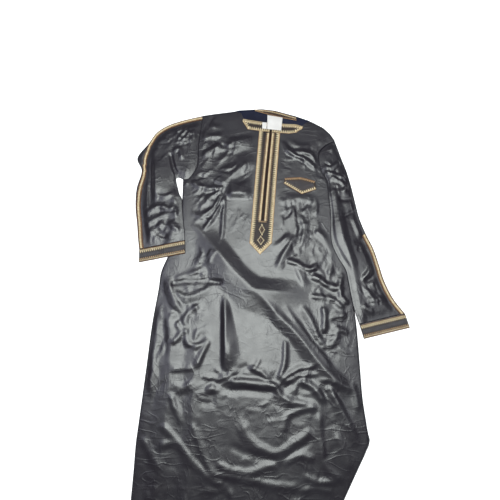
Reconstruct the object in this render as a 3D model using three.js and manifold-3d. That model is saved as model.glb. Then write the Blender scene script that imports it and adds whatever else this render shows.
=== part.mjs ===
// A long embroidered robe (jalabiya) laid flat on its back, in millimetres, +Z up.
// Plan coordinates run across the robe (x, towards the wearer's left) and up from the hem (y).
// The last lines move the whole group so that its origin is under the middle of its box.
import * as THREE from "three";
import { mergeVertices } from "three/addons/utils/BufferGeometryUtils.js";
import Module from "manifold-3d";

const wasm = await Module();
wasm.setup();

// Driving sizes
const CLOTH = 1.2; // wall of the cut panels
const SEAM = 0.3; // clearance between sewn pieces
const BAND = 1.0; // embroidered bands, braids and labels
const CUFF_HEIGHT = 40;
const BRAID_WIDTH = 14;
const ARMPIT_Y = 1113; // height of both armpits above the hem
const COLUMNS = 34; // cells across the front panel
const BACK_COLUMNS = 17;
const SKIRT_ROWS = 36; // cells from hem to armpit
const CHEST_ROWS = 9; // cells up each armhole, the same on panels and sleeves
const SLEEVE_RINGS = 20;

// Heights of the layers above the surface that the robe lies on
const FRONT_UNDER = CLOTH + SEAM;
const FRONT_TOP = FRONT_UNDER + CLOTH;
const TRIM_UNDER = FRONT_TOP + SEAM;
const LABEL_UNDER = TRIM_UNDER + BAND + SEAM;
const TUCK = 2 * CLOTH; // the turned-under corner is two layers
const TUCK_LIFT = TUCK + SEAM;

// Side edges of the body from hem to armpit
const SIDES = [
  { y: 0, left: -345, right: 186 },
  { y: 75, left: -342, right: 229 },
  { y: 150, left: -339, right: 271 },
  { y: 225, left: -336, right: 313 },
  { y: 270, left: -335, right: 338 },
  { y: 295, left: -334, right: 349 },
  { y: 330, left: -331, right: 346 },
  { y: 420, left: -323, right: 337 },
  { y: 500, left: -316, right: 335 },
  { y: 650, left: -303, right: 330 },
  { y: 745, left: -290, right: 321 },
  { y: 800, left: -284, right: 312 },
  { y: 850, left: -265, right: 301 },
  { y: 900, left: -243, right: 290 },
  { y: 1000, left: -228, right: 272 },
  { y: ARMPIT_Y, left: -226, right: 262 },
];

// Armhole seams, from the armpit up to the shoulder tip
const ARMHOLE_RIGHT = [
  { x: -226, y: ARMPIT_Y },
  { x: -203, y: 1120 },
  { x: -178, y: 1167 },
  { x: -176, y: 1249 },
  { x: -165, y: 1352 },
];
const ARMHOLE_LEFT = [
  { x: 262, y: ARMPIT_Y },
  { x: 244, y: 1142 },
  { x: 235, y: 1175 },
  { x: 236, y: 1212 },
  { x: 258, y: 1238 },
  { x: 293, y: 1257 },
];

// Top edge of each panel, from one shoulder tip to the other
const FRONT_TOP_EDGE = [
  { x: -165, y: 1352 },
  { x: -116, y: 1360 },
  { x: -50, y: 1369 },
  { x: -33, y: 1364 },
  { x: -22, y: 1340 },
  { x: 0, y: 1335 },
  { x: 43, y: 1328 },
  { x: 116, y: 1320 },
  { x: 161, y: 1319 },
  { x: 186, y: 1309 },
  { x: 192, y: 1330 },
  { x: 214, y: 1329 },
  { x: 254, y: 1306 },
  { x: 278, y: 1282 },
  { x: 293, y: 1257 },
];
const BACK_TOP_EDGE = [
  { x: -165, y: 1352 },
  { x: -116, y: 1361 },
  { x: -37, y: 1373 },
  { x: 42, y: 1378 },
  { x: 88, y: 1372 },
  { x: 161, y: 1350 },
  { x: 214, y: 1330 },
  { x: 254, y: 1306 },
  { x: 278, y: 1282 },
  { x: 293, y: 1257 },
];

// Slit down the middle of the neck, from above the neckline to its lower end
const SLIT = [
  { x: 75, y: 1345, half: 3 },
  { x: 71, y: 1279, half: 3 },
  { x: 56, y: 1131, half: 3.5 },
  { x: 41, y: 970, half: 4 },
];

// Largest folds of the front: a ridge through three points, its height and its half width
const FOLDS = [
  { x0: -172, y0: 956, x1: -78, y1: 847, x2: 16, y2: 742, height: 13, width: 26 },
  { x0: 16, y0: 742, x1: 148, y1: 635, x2: 306, y2: 458, height: 14, width: 27 },
  { x0: -105, y0: 742, x1: -35, y1: 660, x2: 0, y2: 520, height: 9, width: 24 },
  { x0: 118, y0: 720, x1: 182, y1: 590, x2: 240, y2: 450, height: 9, width: 22 },
  { x0: 150, y0: 985, x1: 203, y1: 936, x2: 262, y2: 850, height: 10, width: 24 },
  { x0: -270, y0: 722, x1: -180, y1: 745, x2: -60, y2: 738, height: 7, width: 20 },
  { x0: -205, y0: 1062, x1: -110, y1: 1072, x2: -40, y2: 1060, height: 5, width: 22 },
  { x0: -174, y0: 1180, x1: -110, y1: 1215, x2: -45, y2: 1235, height: 6, width: 24 },
  { x0: 140, y0: 1250, x1: 180, y1: 1205, x2: 225, y2: 1165, height: 7, width: 20 },
  { x0: 118, y0: 1010, x1: 130, y1: 930, x2: 120, y2: 840, height: 6, width: 18 },
  { x0: -256, y0: 690, x1: -262, y1: 520, x2: -268, y2: 330, height: 5, width: 20 },
  { x0: -174, y0: 640, x1: -176, y1: 500, x2: -182, y2: 330, height: 5, width: 20 },
  { x0: -81, y0: 560, x1: -84, y1: 400, x2: -90, y2: 160, height: 7, width: 22 },
  { x0: 87, y0: 560, x1: 86, y1: 420, x2: 84, y2: 250, height: 6, width: 22 },
  { x0: -80, y0: 445, x1: 80, y1: 440, x2: 220, y2: 405, height: 9, width: 24 },
  { x0: 205, y0: 385, x1: 212, y1: 310, x2: 205, y2: 235, height: 7, width: 22 },
  { x0: 235, y0: 500, x1: 290, y1: 380, x2: 300, y2: 320, height: 8, width: 24 },
  { x0: -250, y0: 345, x1: -180, y1: 250, x2: -125, y2: 190, height: 8, width: 22 },
  { x0: -90, y0: 235, x1: 30, y1: 185, x2: 140, y2: 200, height: 8, width: 24 },
  { x0: -140, y0: 100, x1: -20, y1: 70, x2: 90, y2: 90, height: 6, width: 24 },
];

// Folds of the sleeves' upper layers, in the same columns
const SLEEVE_FOLDS = [
  { x0: -315, y0: 1235, x1: -322, y1: 1150, x2: -330, y2: 1030, height: 3, width: 20 },
  { x0: -290, y0: 1150, x1: -265, y1: 1090, x2: -255, y2: 1030, height: 2.5, width: 16 },
  { x0: -345, y0: 985, x1: -290, y1: 960, x2: -240, y2: 985, height: 2.5, width: 18 },
  { x0: 278, y0: 1060, x1: 318, y1: 990, x2: 335, y2: 880, height: 3, width: 20 },
  { x0: 300, y0: 1180, x1: 305, y1: 1100, x2: 325, y2: 1020, height: 2.5, width: 20 },
  { x0: 335, y0: 905, x1: 365, y1: 880, x2: 390, y2: 820, height: 2.5, width: 16 },
];

// Places where the front lies smooth, under bands and under the sleeves
const SMOOTH = [
  { x0: 70, y0: 1290, x1: 36, y1: 850, reach: 80 },
  { x0: -60, y0: 1330, x1: 215, y1: 1300, reach: 75 },
  { x0: 130, y0: 1095, x1: 205, y1: 1092, reach: 68 },
  { x0: -235, y0: 835, x1: -235, y1: 1010, reach: 78 },
  { x0: 290, y0: 840, x1: 268, y1: 1040, reach: 45 },
];
const SMOOTH_FADE = 34;

// Sleeves from armhole to cuff: outer edge, inner edge, and the braid's distance from the outer edge
const SLEEVE_RIGHT = [
  { outX: -165, outY: 1352, inX: -226, inY: ARMPIT_Y, braid: 2 },
  { outX: -206, outY: 1342, inX: -234, inY: 1118, braid: 2 },
  { outX: -245, outY: 1331, inX: -243, inY: 1121, braid: 2 },
  { outX: -288, outY: 1314, inX: -250, inY: 1117, braid: 2 },
  { outX: -325, outY: 1287, inX: -249, inY: 1107, braid: 2 },
  { outX: -351, outY: 1246, inX: -246, inY: 1094, braid: 3 },
  { outX: -386, outY: 1193, inX: -241, inY: 1076, braid: 30 },
  { outX: -369, outY: 1145, inX: -236, inY: 1060, braid: 5 },
  { outX: -382, outY: 1082, inX: -231, inY: 1042, braid: 6 },
  { outX: -382, outY: 1020, inX: -227, inY: 1010, braid: 4 },
  { outX: -373, outY: 958, inX: -219, inY: 965, braid: 3 },
  { outX: -367, outY: 910, inX: -214, inY: 930, braid: 2 },
  { outX: -361, outY: 873, inX: -212, inY: 902, braid: 2 },
];
const SLEEVE_LEFT = [
  { outX: 293, outY: 1257, inX: 262, inY: ARMPIT_Y, braid: 2 },
  { outX: 303, outY: 1225, inX: 267, inY: 1094, braid: 2 },
  { outX: 315, outY: 1185, inX: 269, inY: 1054, braid: 2 },
  { outX: 329, outY: 1142, inX: 273, inY: 1010, braid: 2 },
  { outX: 342, outY: 1086, inX: 268, inY: 965, braid: 2 },
  { outX: 352, outY: 1030, inX: 264, inY: 925, braid: 2 },
  { outX: 362, outY: 978, inX: 268, inY: 885, braid: 2 },
  { outX: 380, outY: 925, inX: 284, inY: 845, braid: 2 },
  { outX: 401, outY: 876, inX: 306, inY: 805, braid: 2 },
  { outX: 415, outY: 826, inX: 321, inY: 770, braid: 2 },
  { outX: 429, outY: 770, inX: 325, inY: 732, braid: 2 },
  { outX: 453, outY: 714, inX: 330, inY: 684, braid: 2 },
  { outX: 487, outY: 666, inX: 341, inY: 632, braid: 2 },
];
const BRAID_LEFT_FIRST_RING = 11; // above this ring the left braid is rolled to the underside
const CUFF_END_RIGHT = { outX: -358, outY: 830, inX: -208, inY: 859 };
const CUFF_END_LEFT = { outX: 497, outY: 624, inX: 351, inY: 590 };

// Neckband on the front: upper and lower edges at each station
const NECKBAND = [
  { x: -24, upper: 1338, lower: 1326 },
  { x: -8, upper: 1334, lower: 1298 },
  { x: 38, upper: 1326, lower: 1291 },
  { x: 69, upper: 1322, lower: 1287 },
  { x: 102, upper: 1319, lower: 1284 },
  { x: 135, upper: 1317, lower: 1281 },
  { x: 160, upper: 1316, lower: 1285 },
  { x: 184, upper: 1308, lower: 1303 },
];
const NECKBAND_BACK = [
  { x: 18, upper: 1376, lower: 1370 },
  { x: 63, upper: 1372, lower: 1356 },
  { x: 88, upper: 1367, lower: 1349 },
  { x: 116, upper: 1359, lower: 1342 },
  { x: 162, upper: 1344, lower: 1333 },
];

// Placket: outline below the neckband, left and right of the slit, down to its point
const PLACKET_LEFT_EDGE = [
  { x: 32, y: 1291.5 },
  { x: 20, y: 1149 },
  { x: 5, y: 964 },
  { x: -2, y: 893 },
];
const PLACKET_TIP = { x: 32, y: 855 };
const PLACKET_RIGHT_EDGE = [
  { x: 71, y: 893 },
  { x: 77, y: 964 },
  { x: 92, y: 1149 },
  { x: 104, y: 1283 },
];
const PLACKET_TOP_GAP = 0.5; // below the neckband's lower edge
const SLIT_MARGIN = 0.5; // the bands stand back from the slit in the panel

const POCKET_WELT = [
  { x: 117, y: 1118 },
  { x: 113, y: 1098 },
  { x: 173, y: 1060 },
  { x: 222, y: 1077 },
  { x: 219, y: 1107 },
  { x: 183, y: 1118 },
  { x: 169, y: 1121 },
];

// Labels: the four corners, from the back neck down over the front band
const NECK_LABEL = { topLeft: [61, 1353], topRight: [114, 1343], lowLeft: [59, 1298], lowRight: [108, 1292] };
const SIZE_LABEL = { topLeft: [43, 1324], topRight: [58.5, 1322], lowLeft: [42, 1300], lowRight: [57, 1298] };
const LABEL_STEPS = 6;
const LABEL_RAMP = { low: 1331, high: 1345 }; // where the label climbs from the back band to the front

// Corner of the hem turned under: its fold line and its hidden point
const CORNER = [
  { x: 344, y: 287 },
  { x: 104, y: 142 },
  { x: 186, y: 4 },
];
const CORNER_CLEAR = 55; // the panels are fully raised this far round the corner
const CORNER_RAMP = 150;

// The sleeve climbs onto the body over this strip outside the side edge, and below the armpit
const CLIMB = { start: -40, end: -15, top: 1095, full: 1050 };

const CLOTH_FINISH = { color: 0x2c2a2e, roughness: 0.3, metalness: 0 };
const BAND_FINISH = { color: 0x6b5136, roughness: 0.7, metalness: 0 };
const LABEL_FINISH = { color: 0xf2f0ec, roughness: 0.8, metalness: 0 };

const mix = THREE.MathUtils.lerp;
const fade = THREE.MathUtils.smoothstep;

// One column of a table at a given place, straight between its rows
function read(table, by, at, name) {
  const last = table.length - 1;
  const next = table.findIndex((row, i) => i === last || (i > 0 && row[by] >= at));
  const low = table[next - 1];
  const high = table[next];
  return mix(low[name], high[name], (at - low[by]) / (high[by] - low[by]));
}

// Distance in plan from a point to a straight line between two others
function distanceToLine(x, y, x0, y0, x1, y1) {
  const alongX = x1 - x0;
  const alongY = y1 - y0;
  const share = ((x - x0) * alongX + (y - y0) * alongY) / (alongX ** 2 + alongY ** 2);
  const near = THREE.MathUtils.clamp(share, 0, 1);
  return Math.hypot(x - x0 - near * alongX, y - y0 - near * alongY);
}

// Height that a table of folds adds at a point
function foldHeight(folds, x, y) {
  const cubes = folds.reduce((sum, f) => {
    const first = distanceToLine(x, y, f.x0, f.y0, f.x1, f.y1);
    const second = distanceToLine(x, y, f.x1, f.y1, f.x2, f.y2);
    const height = f.height * Math.exp(-((Math.min(first, second) / f.width) ** 2));
    return sum + height ** 3;
  }, 0);
  return Math.cbrt(cubes); // crossing folds blend and don't pile up
}

// 0 where the front lies smooth under a band or sleeve, 1 well away from all of them
function looseness(x, y) {
  return SMOOTH.reduce((share, s) => {
    const away = distanceToLine(x, y, s.x0, s.y0, s.x1, s.y1);
    return share * fade(away, s.reach, s.reach + SMOOTH_FADE);
  }, 1);
}

// Height that both panels gain over the turned-under corner
function cornerLift(x, y) {
  const shape = CORNER.map((p) => new THREE.Vector2(p.x, p.y));
  const edges = shape.map((p, i) => [p, shape[(i + 1) % shape.length]]);
  const inside = edges.every(([p, q]) => (q.x - p.x) * (y - p.y) - (q.y - p.y) * (x - p.x) > 0);
  const away = Math.min(...edges.map(([p, q]) => distanceToLine(x, y, p.x, p.y, q.x, q.y)));
  return inside ? TUCK_LIFT : TUCK_LIFT * (1 - fade(away, CORNER_CLEAR, CORNER_CLEAR + CORNER_RAMP));
}

// Height that a sleeve gains where it lies over the side of the body
function bodyLift(x, y) {
  const row = Math.min(y, ARMPIT_Y);
  const insideLeft = x - read(SIDES, "y", row, "left");
  const insideRight = read(SIDES, "y", row, "right") - x;
  const inside = Math.min(insideLeft, insideRight);
  const below = 1 - fade(y, CLIMB.full, CLIMB.top);
  return TRIM_UNDER * fade(inside, CLIMB.start, CLIMB.end) * below;
}

function geometryOf(points, faces) {
  const geometry = new THREE.BufferGeometry();
  geometry.setAttribute("position", new THREE.Float32BufferAttribute(points.flat(), 3));
  geometry.setIndex(faces.flat());
  return geometry;
}

// A wall over a grid of plan points, between an under and an over height, closed round its rim
function wall(grid, under, over) {
  const rows = grid.length;
  const columns = grid[0].length;
  const top = grid.flat().map((p) => [p.x, p.y, over(p)]);
  const bottom = grid.flat().map((p) => [p.x, p.y, under(p)]);
  const at = (row, column) => row * columns + column;
  const faces = [];
  for (let row = 0; row < rows - 1; row += 1) {
    for (let column = 0; column < columns - 1; column += 1) {
      const a = at(row, column);
      const b = at(row, column + 1);
      const c = at(row + 1, column + 1);
      const d = at(row + 1, column);
      faces.push([a, b, d], [b, c, d]);
    }
  }
  const under0 = top.length;
  const lower = faces.map(([a, b, c]) => [c + under0, b + under0, a + under0]);
  const rim = [];
  for (let column = 0; column < columns; column += 1) rim.push(at(0, column));
  for (let row = 1; row < rows; row += 1) rim.push(at(row, columns - 1));
  for (let column = columns - 2; column >= 0; column -= 1) rim.push(at(rows - 1, column));
  for (let row = rows - 2; row > 0; row -= 1) rim.push(at(row, 0));
  const sides = rim.flatMap((p, i) => {
    const q = rim[(i + 1) % rim.length];
    return [
      [p, p + under0, q + under0],
      [p, q + under0, q],
    ];
  });
  return geometryOf([...top, ...bottom], [...faces, ...lower, ...sides]);
}

// Points of an armhole seam at equal steps, from the armpit up
function armholePoints(table) {
  const curve = new THREE.SplineCurve(table.map((p) => new THREE.Vector2(p.x, p.y)));
  return curve.getSpacedPoints(CHEST_ROWS);
}

// Plan of a body panel: straight rows up to the armpits, then a patch between armholes and top edge
function panelPlan(columns, topEdge) {
  const rightSeam = armholePoints(ARMHOLE_RIGHT);
  const leftSeam = armholePoints(ARMHOLE_LEFT);
  const rows = [];
  for (let row = 0; row <= SKIRT_ROWS; row += 1) {
    const y = (ARMPIT_Y * row) / SKIRT_ROWS;
    const left = read(SIDES, "y", y, "left");
    const right = read(SIDES, "y", y, "right");
    rows.push(Array.from({ length: columns + 1 }, (_, i) => ({ x: mix(left, right, i / columns), y })));
  }
  const base = rows[SKIRT_ROWS];
  const first = rightSeam[CHEST_ROWS];
  const last = leftSeam[CHEST_ROWS];
  for (let row = 1; row <= CHEST_ROWS; row += 1) {
    const up = row / CHEST_ROWS;
    rows.push(
      base.map((low, i) => {
        const across = i / columns;
        const topX = mix(first.x, last.x, across);
        const topY = read(topEdge, "x", topX, "y");
        const side = (key) => mix(rightSeam[row][key], leftSeam[row][key], across);
        const chord = (key) =>
          mix(mix(base[0][key], base[columns][key], across), mix(first[key], last[key], across), up);
        return {
          x: mix(low.x, topX, up) + side("x") - chord("x"),
          y: mix(low.y, topY, up) + side("y") - chord("y"),
        };
      }),
    );
  }
  return rows;
}

// Fold height on the front, fading to nothing at the panel's own edges
function frontFold(p, edge) {
  return foldHeight(FOLDS, p.x, p.y) * looseness(p.x, p.y) * edge;
}

function solidOf(geometry) {
  const bare = geometry.index ? geometry.clone() : geometry;
  bare.deleteAttribute("normal");
  bare.deleteAttribute("uv");
  const merged = mergeVertices(bare, 1e-4);
  const vertProperties = merged.getAttribute("position").array;
  const triVerts = Uint32Array.from(merged.index.array);
  return new wasm.Manifold(new wasm.Mesh({ numProp: 3, vertProperties, triVerts }));
}

function geometryFrom(solid) {
  const mesh = solid.getMesh();
  const geometry = new THREE.BufferGeometry();
  geometry.setAttribute("position", new THREE.BufferAttribute(mesh.vertProperties, 3));
  geometry.setIndex(new THREE.BufferAttribute(mesh.triVerts, 1));
  return geometry;
}

// A flat piece of cloth of a given plan outline
function flatPiece(outline, under, thickness) {
  const shape = new THREE.Shape(outline.map((p) => new THREE.Vector2(p.x, p.y)));
  const geometry = new THREE.ExtrudeGeometry(shape, { depth: thickness, bevelEnabled: false });
  geometry.translate(0, 0, under);
  return geometry;
}

// Both edges of the slit, set back from its middle by its half width and a margin
function slitEdge(side, margin) {
  return SLIT.map((p) => ({ x: p.x + side * (p.half + margin), y: p.y }));
}

function frontPanel() {
  const plan = panelPlan(COLUMNS, FRONT_TOP_EDGE);
  const edgeColumns = 2;
  const grid = plan.map((row, j) =>
    row.map((p, i) => {
      const fromSide = Math.min(i, COLUMNS - i) / edgeColumns;
      const fromEnd = Math.min(j, plan.length - 1 - j) / edgeColumns;
      const edge = fade(fromSide, 0, 1) * fade(fromEnd, 0, 1);
      return { ...p, z: frontFold(p, edge) + cornerLift(p.x, p.y) };
    }),
  );
  const cloth = wall(
    grid,
    (p) => FRONT_UNDER + p.z,
    (p) => FRONT_TOP + p.z,
  );
  const knife = flatPiece([...slitEdge(-1, 0), ...slitEdge(1, 0).reverse()], 0, TRIM_UNDER * 2);
  return geometryFrom(solidOf(cloth).subtract(solidOf(knife)));
}

function backPanel() {
  const plan = panelPlan(BACK_COLUMNS, BACK_TOP_EDGE);
  const lift = (p) => cornerLift(p.x, p.y);
  return wall(plan, lift, (p) => lift(p) + CLOTH);
}

// Rings of a sleeve: plan points from the outer to the inner edge, with the braid's two lines in them
function sleeveRings(table, armhole) {
  const outer = new THREE.CatmullRomCurve3(table.map((r) => new THREE.Vector3(r.outX, r.outY, 0)));
  const inner = new THREE.CatmullRomCurve3(table.map((r) => new THREE.Vector3(r.inX, r.inY, 0)));
  const seam = armholePoints(armhole).reverse();
  const shoulder = seam[0];
  const armpit = seam[CHEST_ROWS];
  const stations = table.map((r, i) => ({ at: i / (table.length - 1), braid: r.braid }));
  const seamStep = 2 * SEAM; // clears the seam by SEAM where it runs aslant
  const away = new THREE.Vector2(armpit.y - shoulder.y, shoulder.x - armpit.x).normalize();
  if ((outer.getPoint(1).x - shoulder.x) * away.x < 0) away.negate();
  return Array.from({ length: SLEEVE_RINGS }, (_, ring) => {
    const at = ring / (SLEEVE_RINGS - 1);
    const out = outer.getPoint(at);
    const inn = inner.getPoint(at);
    const width = out.distanceTo(inn);
    const braidStart = read(stations, "at", at, "braid") / width;
    const braidEnd = braidStart + BRAID_WIDTH / width;
    const shares = Array.from({ length: CHEST_ROWS }, (_v, i) => {
      const even = (i + 1) / CHEST_ROWS;
      return ring === 0 ? even : mix(braidEnd, 1, even);
    });
    const seamShare = Math.max(0, 1 - ring / 4) ** 4; // the armhole's curve dies out down the sleeve
    return [0, braidStart, braidEnd, ...shares].map((u) => {
      const step = Math.min(Math.floor(u * CHEST_ROWS), CHEST_ROWS - 1);
      const rest = u * CHEST_ROWS - step;
      const bowX = mix(seam[step].x, seam[step + 1].x, rest) - mix(shoulder.x, armpit.x, u);
      const bowY = mix(seam[step].y, seam[step + 1].y, rest) - mix(shoulder.y, armpit.y, u);
      return {
        u,
        width,
        x: mix(out.x, inn.x, u) + bowX * seamShare + away.x * seamStep,
        y: mix(out.y, inn.y, u) + bowY * seamShare + away.y * seamStep,
      };
    });
  });
}

// A flattened tube through rings of plan points, with its wall and an open hollow inside
function flatTube(rings, hollowAt) {
  const bevel = 0.4; // the folded edges are rounded off by this much
  const inset = CLOTH + bevel;
  const points = [];
  rings.forEach((ring, k) => {
    const edge = (p) => (p.u === 0 || p.u === 1 ? bevel : 0);
    const floor = (p) => bodyLift(p.x, p.y);
    const roof = (p) => floor(p) + 2 * CLOTH + hollowAt(p, k);
    const inward = (p) => {
      const u = mix(inset / p.width, 1 - inset / p.width, p.u);
      return { ...p, x: read(ring, "u", u, "x"), y: read(ring, "u", u, "y") };
    };
    const back = [...ring].reverse();
    ring.forEach((p) => points.push([p.x, p.y, floor(p) + edge(p)]));
    back.forEach((p) => points.push([p.x, p.y, roof(p) - edge(p)]));
    ring.forEach((p) => points.push([inward(p).x, inward(p).y, floor(p) + CLOTH]));
    back.forEach((p) => points.push([inward(p).x, inward(p).y, roof(p) - CLOTH]));
  });
  const loop = 2 * rings[0].length;
  const faces = [];
  const apart = (p, q) => Math.hypot(...points[p].map((value, axis) => value - points[q][axis]));
  const quad = (a, b, c, d) => {
    if (apart(a, c) < apart(b, d)) faces.push([a, b, c], [a, c, d]);
    else faces.push([a, b, d], [b, c, d]);
  };
  for (let i = 0; i < loop; i += 1) {
    const j = (i + 1) % loop;
    for (let k = 0; k < rings.length - 1; k += 1) {
      const low = 2 * loop * k;
      const high = low + 2 * loop;
      quad(low + i, low + j, high + j, high + i);
      quad(low + loop + j, low + loop + i, high + loop + i, high + loop + j);
    }
    const end = 2 * loop * (rings.length - 1);
    quad(i, loop + i, loop + j, j);
    quad(end + j, end + loop + j, end + loop + i, end + i);
  }
  return geometryOf(points, faces);
}

// Turns a closed shell's faces outwards when they come out facing in
function facingOut(geometry) {
  const p = geometry.getAttribute("position");
  const index = geometry.index.array;
  const corner = (i) => new THREE.Vector3().fromBufferAttribute(p, index[i]);
  let volume = 0;
  for (let i = 0; i < index.length; i += 3) {
    volume += corner(i).dot(corner(i + 1).cross(corner(i + 2)));
  }
  if (volume < 0) geometry.setIndex(Array.from(index).reverse());
  return geometry;
}

const THIN_HOLLOW = SEAM; // at the armhole the sleeve's layers meet the panels' layers
const FULL_HOLLOW = 0.8;

// Gap between a sleeve's two layers: least at its ends and under the braid, most in its folds
function sleeveHollow(p, ring) {
  const fromEnd = Math.min(ring, SLEEVE_RINGS - 1 - ring) / 3;
  const ends = fade(fromEnd, 0, 1);
  const fromEdge = Math.min(p.u, 1 - p.u) * p.width;
  const middle = fade(fromEdge, BRAID_WIDTH + 4, 45);
  const puff = FULL_HOLLOW - THIN_HOLLOW + foldHeight(SLEEVE_FOLDS, p.x, p.y) * middle;
  return THIN_HOLLOW + puff * ends;
}

function sleeve(rings) {
  return facingOut(flatTube(rings, sleeveHollow));
}

// The cuff goes on from the sleeve's last ring
function cuff(rings, end) {
  const start = rings[rings.length - 1];
  const steps = [SEAM / CUFF_HEIGHT, 0.5, 1];
  const tube = steps.map((share) =>
    start.map((p) => {
      const endX = mix(end.outX, end.inX, p.u);
      const endY = mix(end.outY, end.inY, p.u);
      return { ...p, x: mix(p.x, endX, share), y: mix(p.y, endY, share) };
    }),
  );
  return facingOut(flatTube(tube, () => THIN_HOLLOW));
}

// Braid on a sleeve: the strip between the two braid lines of its rings, moved out
function braid(rings, firstRing) {
  const strip = rings.slice(firstRing).map((ring, k) =>
    [ring[1], ring[2]].map((p) => {
      const top = bodyLift(p.x, p.y) + 2 * CLOTH + sleeveHollow(p, firstRing + k);
      return { ...p, z: top + SEAM };
    }),
  );
  return facingOut(
    wall(
      strip,
      (p) => p.z,
      (p) => p.z + BAND,
    ),
  );
}

// Part of a band between two places across, from its table of edges
function bandOutline(table, from, to) {
  const inner = table.map((r) => r.x).filter((x) => x > from && x < to);
  const places = [from, ...inner, to];
  const upper = places.map((x) => ({ x, y: read(table, "x", x, "upper") }));
  const lower = places.map((x) => ({ x, y: read(table, "x", x, "lower") }));
  return [...lower, ...upper.reverse()];
}

function neckbandHalf(side) {
  const band = flatPiece(bandOutline(NECKBAND, NECKBAND[0].x, NECKBAND[NECKBAND.length - 1].x), TRIM_UNDER, BAND);
  const far = 400;
  const slit = slitEdge(side, SLIT_MARGIN);
  const beyond = [...slit].reverse().map((p) => ({ x: p.x - side * far, y: p.y }));
  const knife = flatPiece([...slit, ...beyond], 0, TRIM_UNDER * 2);
  return geometryFrom(solidOf(band).subtract(solidOf(knife)));
}

function placket() {
  const lowX = (x) => read(NECKBAND, "x", x, "lower") - PLACKET_TOP_GAP;
  const [leftTop, ...leftRest] = PLACKET_LEFT_EDGE;
  const rightTop = PLACKET_RIGHT_EDGE[PLACKET_RIGHT_EDGE.length - 1];
  const rightRest = PLACKET_RIGHT_EDGE.slice(0, -1);
  const between = NECKBAND.filter((r) => r.x > leftTop.x && r.x < rightTop.x).reverse();
  const outline = [
    { x: leftTop.x, y: lowX(leftTop.x) },
    ...leftRest,
    PLACKET_TIP,
    ...rightRest,
    { x: rightTop.x, y: lowX(rightTop.x) },
    ...between.map((r) => ({ x: r.x, y: lowX(r.x) })),
  ];
  const band = flatPiece(outline, TRIM_UNDER, BAND);
  const knife = flatPiece(
    [...slitEdge(-1, SLIT_MARGIN), ...slitEdge(1, SLIT_MARGIN).reverse()],
    0,
    TRIM_UNDER * 2,
  );
  return geometryFrom(solidOf(band).subtract(solidOf(knife)));
}

// A label between its corners; where it starts on the back band it lies lower
function label(corners, ramped) {
  const grid = Array.from({ length: LABEL_STEPS + 1 }, (_, i) => {
    const up = i / LABEL_STEPS;
    return ["Left", "Right"].map((side) => ({
      x: mix(corners["low" + side][0], corners["top" + side][0], up),
      y: mix(corners["low" + side][1], corners["top" + side][1], up),
    }));
  });
  const drop = LABEL_UNDER - (FRONT_UNDER + BAND + SEAM);
  const under = (p) => LABEL_UNDER - (ramped ? drop * fade(p.y, LABEL_RAMP.low, LABEL_RAMP.high) : 0);
  return wall(grid, under, (p) => under(p) + BAND);
}

const robe = new THREE.Group();
robe.name = "jalabiya";

function add(name, geometry, finish) {
  const mesh = new THREE.Mesh(geometry, new THREE.MeshStandardMaterial(finish));
  mesh.name = name;
  robe.add(mesh);
}

const ringsRight = sleeveRings(SLEEVE_RIGHT, ARMHOLE_RIGHT);
const ringsLeft = sleeveRings(SLEEVE_LEFT, ARMHOLE_LEFT);
const backBandSpan = [NECKBAND_BACK[0].x, NECKBAND_BACK[NECKBAND_BACK.length - 1].x];

add("back_panel", backPanel(), CLOTH_FINISH);
add("front_panel", frontPanel(), CLOTH_FINISH);
add("turned_corner", flatPiece(CORNER, 0, TUCK), CLOTH_FINISH);
add("sleeve_right", sleeve(ringsRight), CLOTH_FINISH);
add("sleeve_left", sleeve(ringsLeft), CLOTH_FINISH);
add("cuff_right", cuff(ringsRight, CUFF_END_RIGHT), BAND_FINISH);
add("cuff_left", cuff(ringsLeft, CUFF_END_LEFT), BAND_FINISH);
add("braid_right", braid(ringsRight, 0), BAND_FINISH);
add("braid_left", braid(ringsLeft, BRAID_LEFT_FIRST_RING), BAND_FINISH);
add("neckband_right", neckbandHalf(-1), BAND_FINISH);
add("neckband_left", neckbandHalf(1), BAND_FINISH);
add("neckband_back", flatPiece(bandOutline(NECKBAND_BACK, ...backBandSpan), FRONT_UNDER, BAND), BAND_FINISH);
add("placket", placket(), BAND_FINISH);
add("pocket_welt", flatPiece(POCKET_WELT, TRIM_UNDER, BAND), BAND_FINISH);
add("neck_label", label(NECK_LABEL, true), LABEL_FINISH);
add("size_label", label(SIZE_LABEL, false), LABEL_FINISH);

// The origin goes under the middle of the whole robe's box
const box = new THREE.Box3().setFromObject(robe);
const middle = box.getCenter(new THREE.Vector3());
robe.position.set(-middle.x, -middle.y, -box.min.z);

export default robe;
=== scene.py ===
"""Looks of a long embroidered robe (jalabiya) laid flat on its back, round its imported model.

Plan sizes are millimetres: x runs across the robe, towards the wearer's left, and y up from the hem.
place() turns plan points into the frame's metres. Right and left are the wearer's.
"""

import math
from collections import namedtuple
from functools import partial

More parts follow.
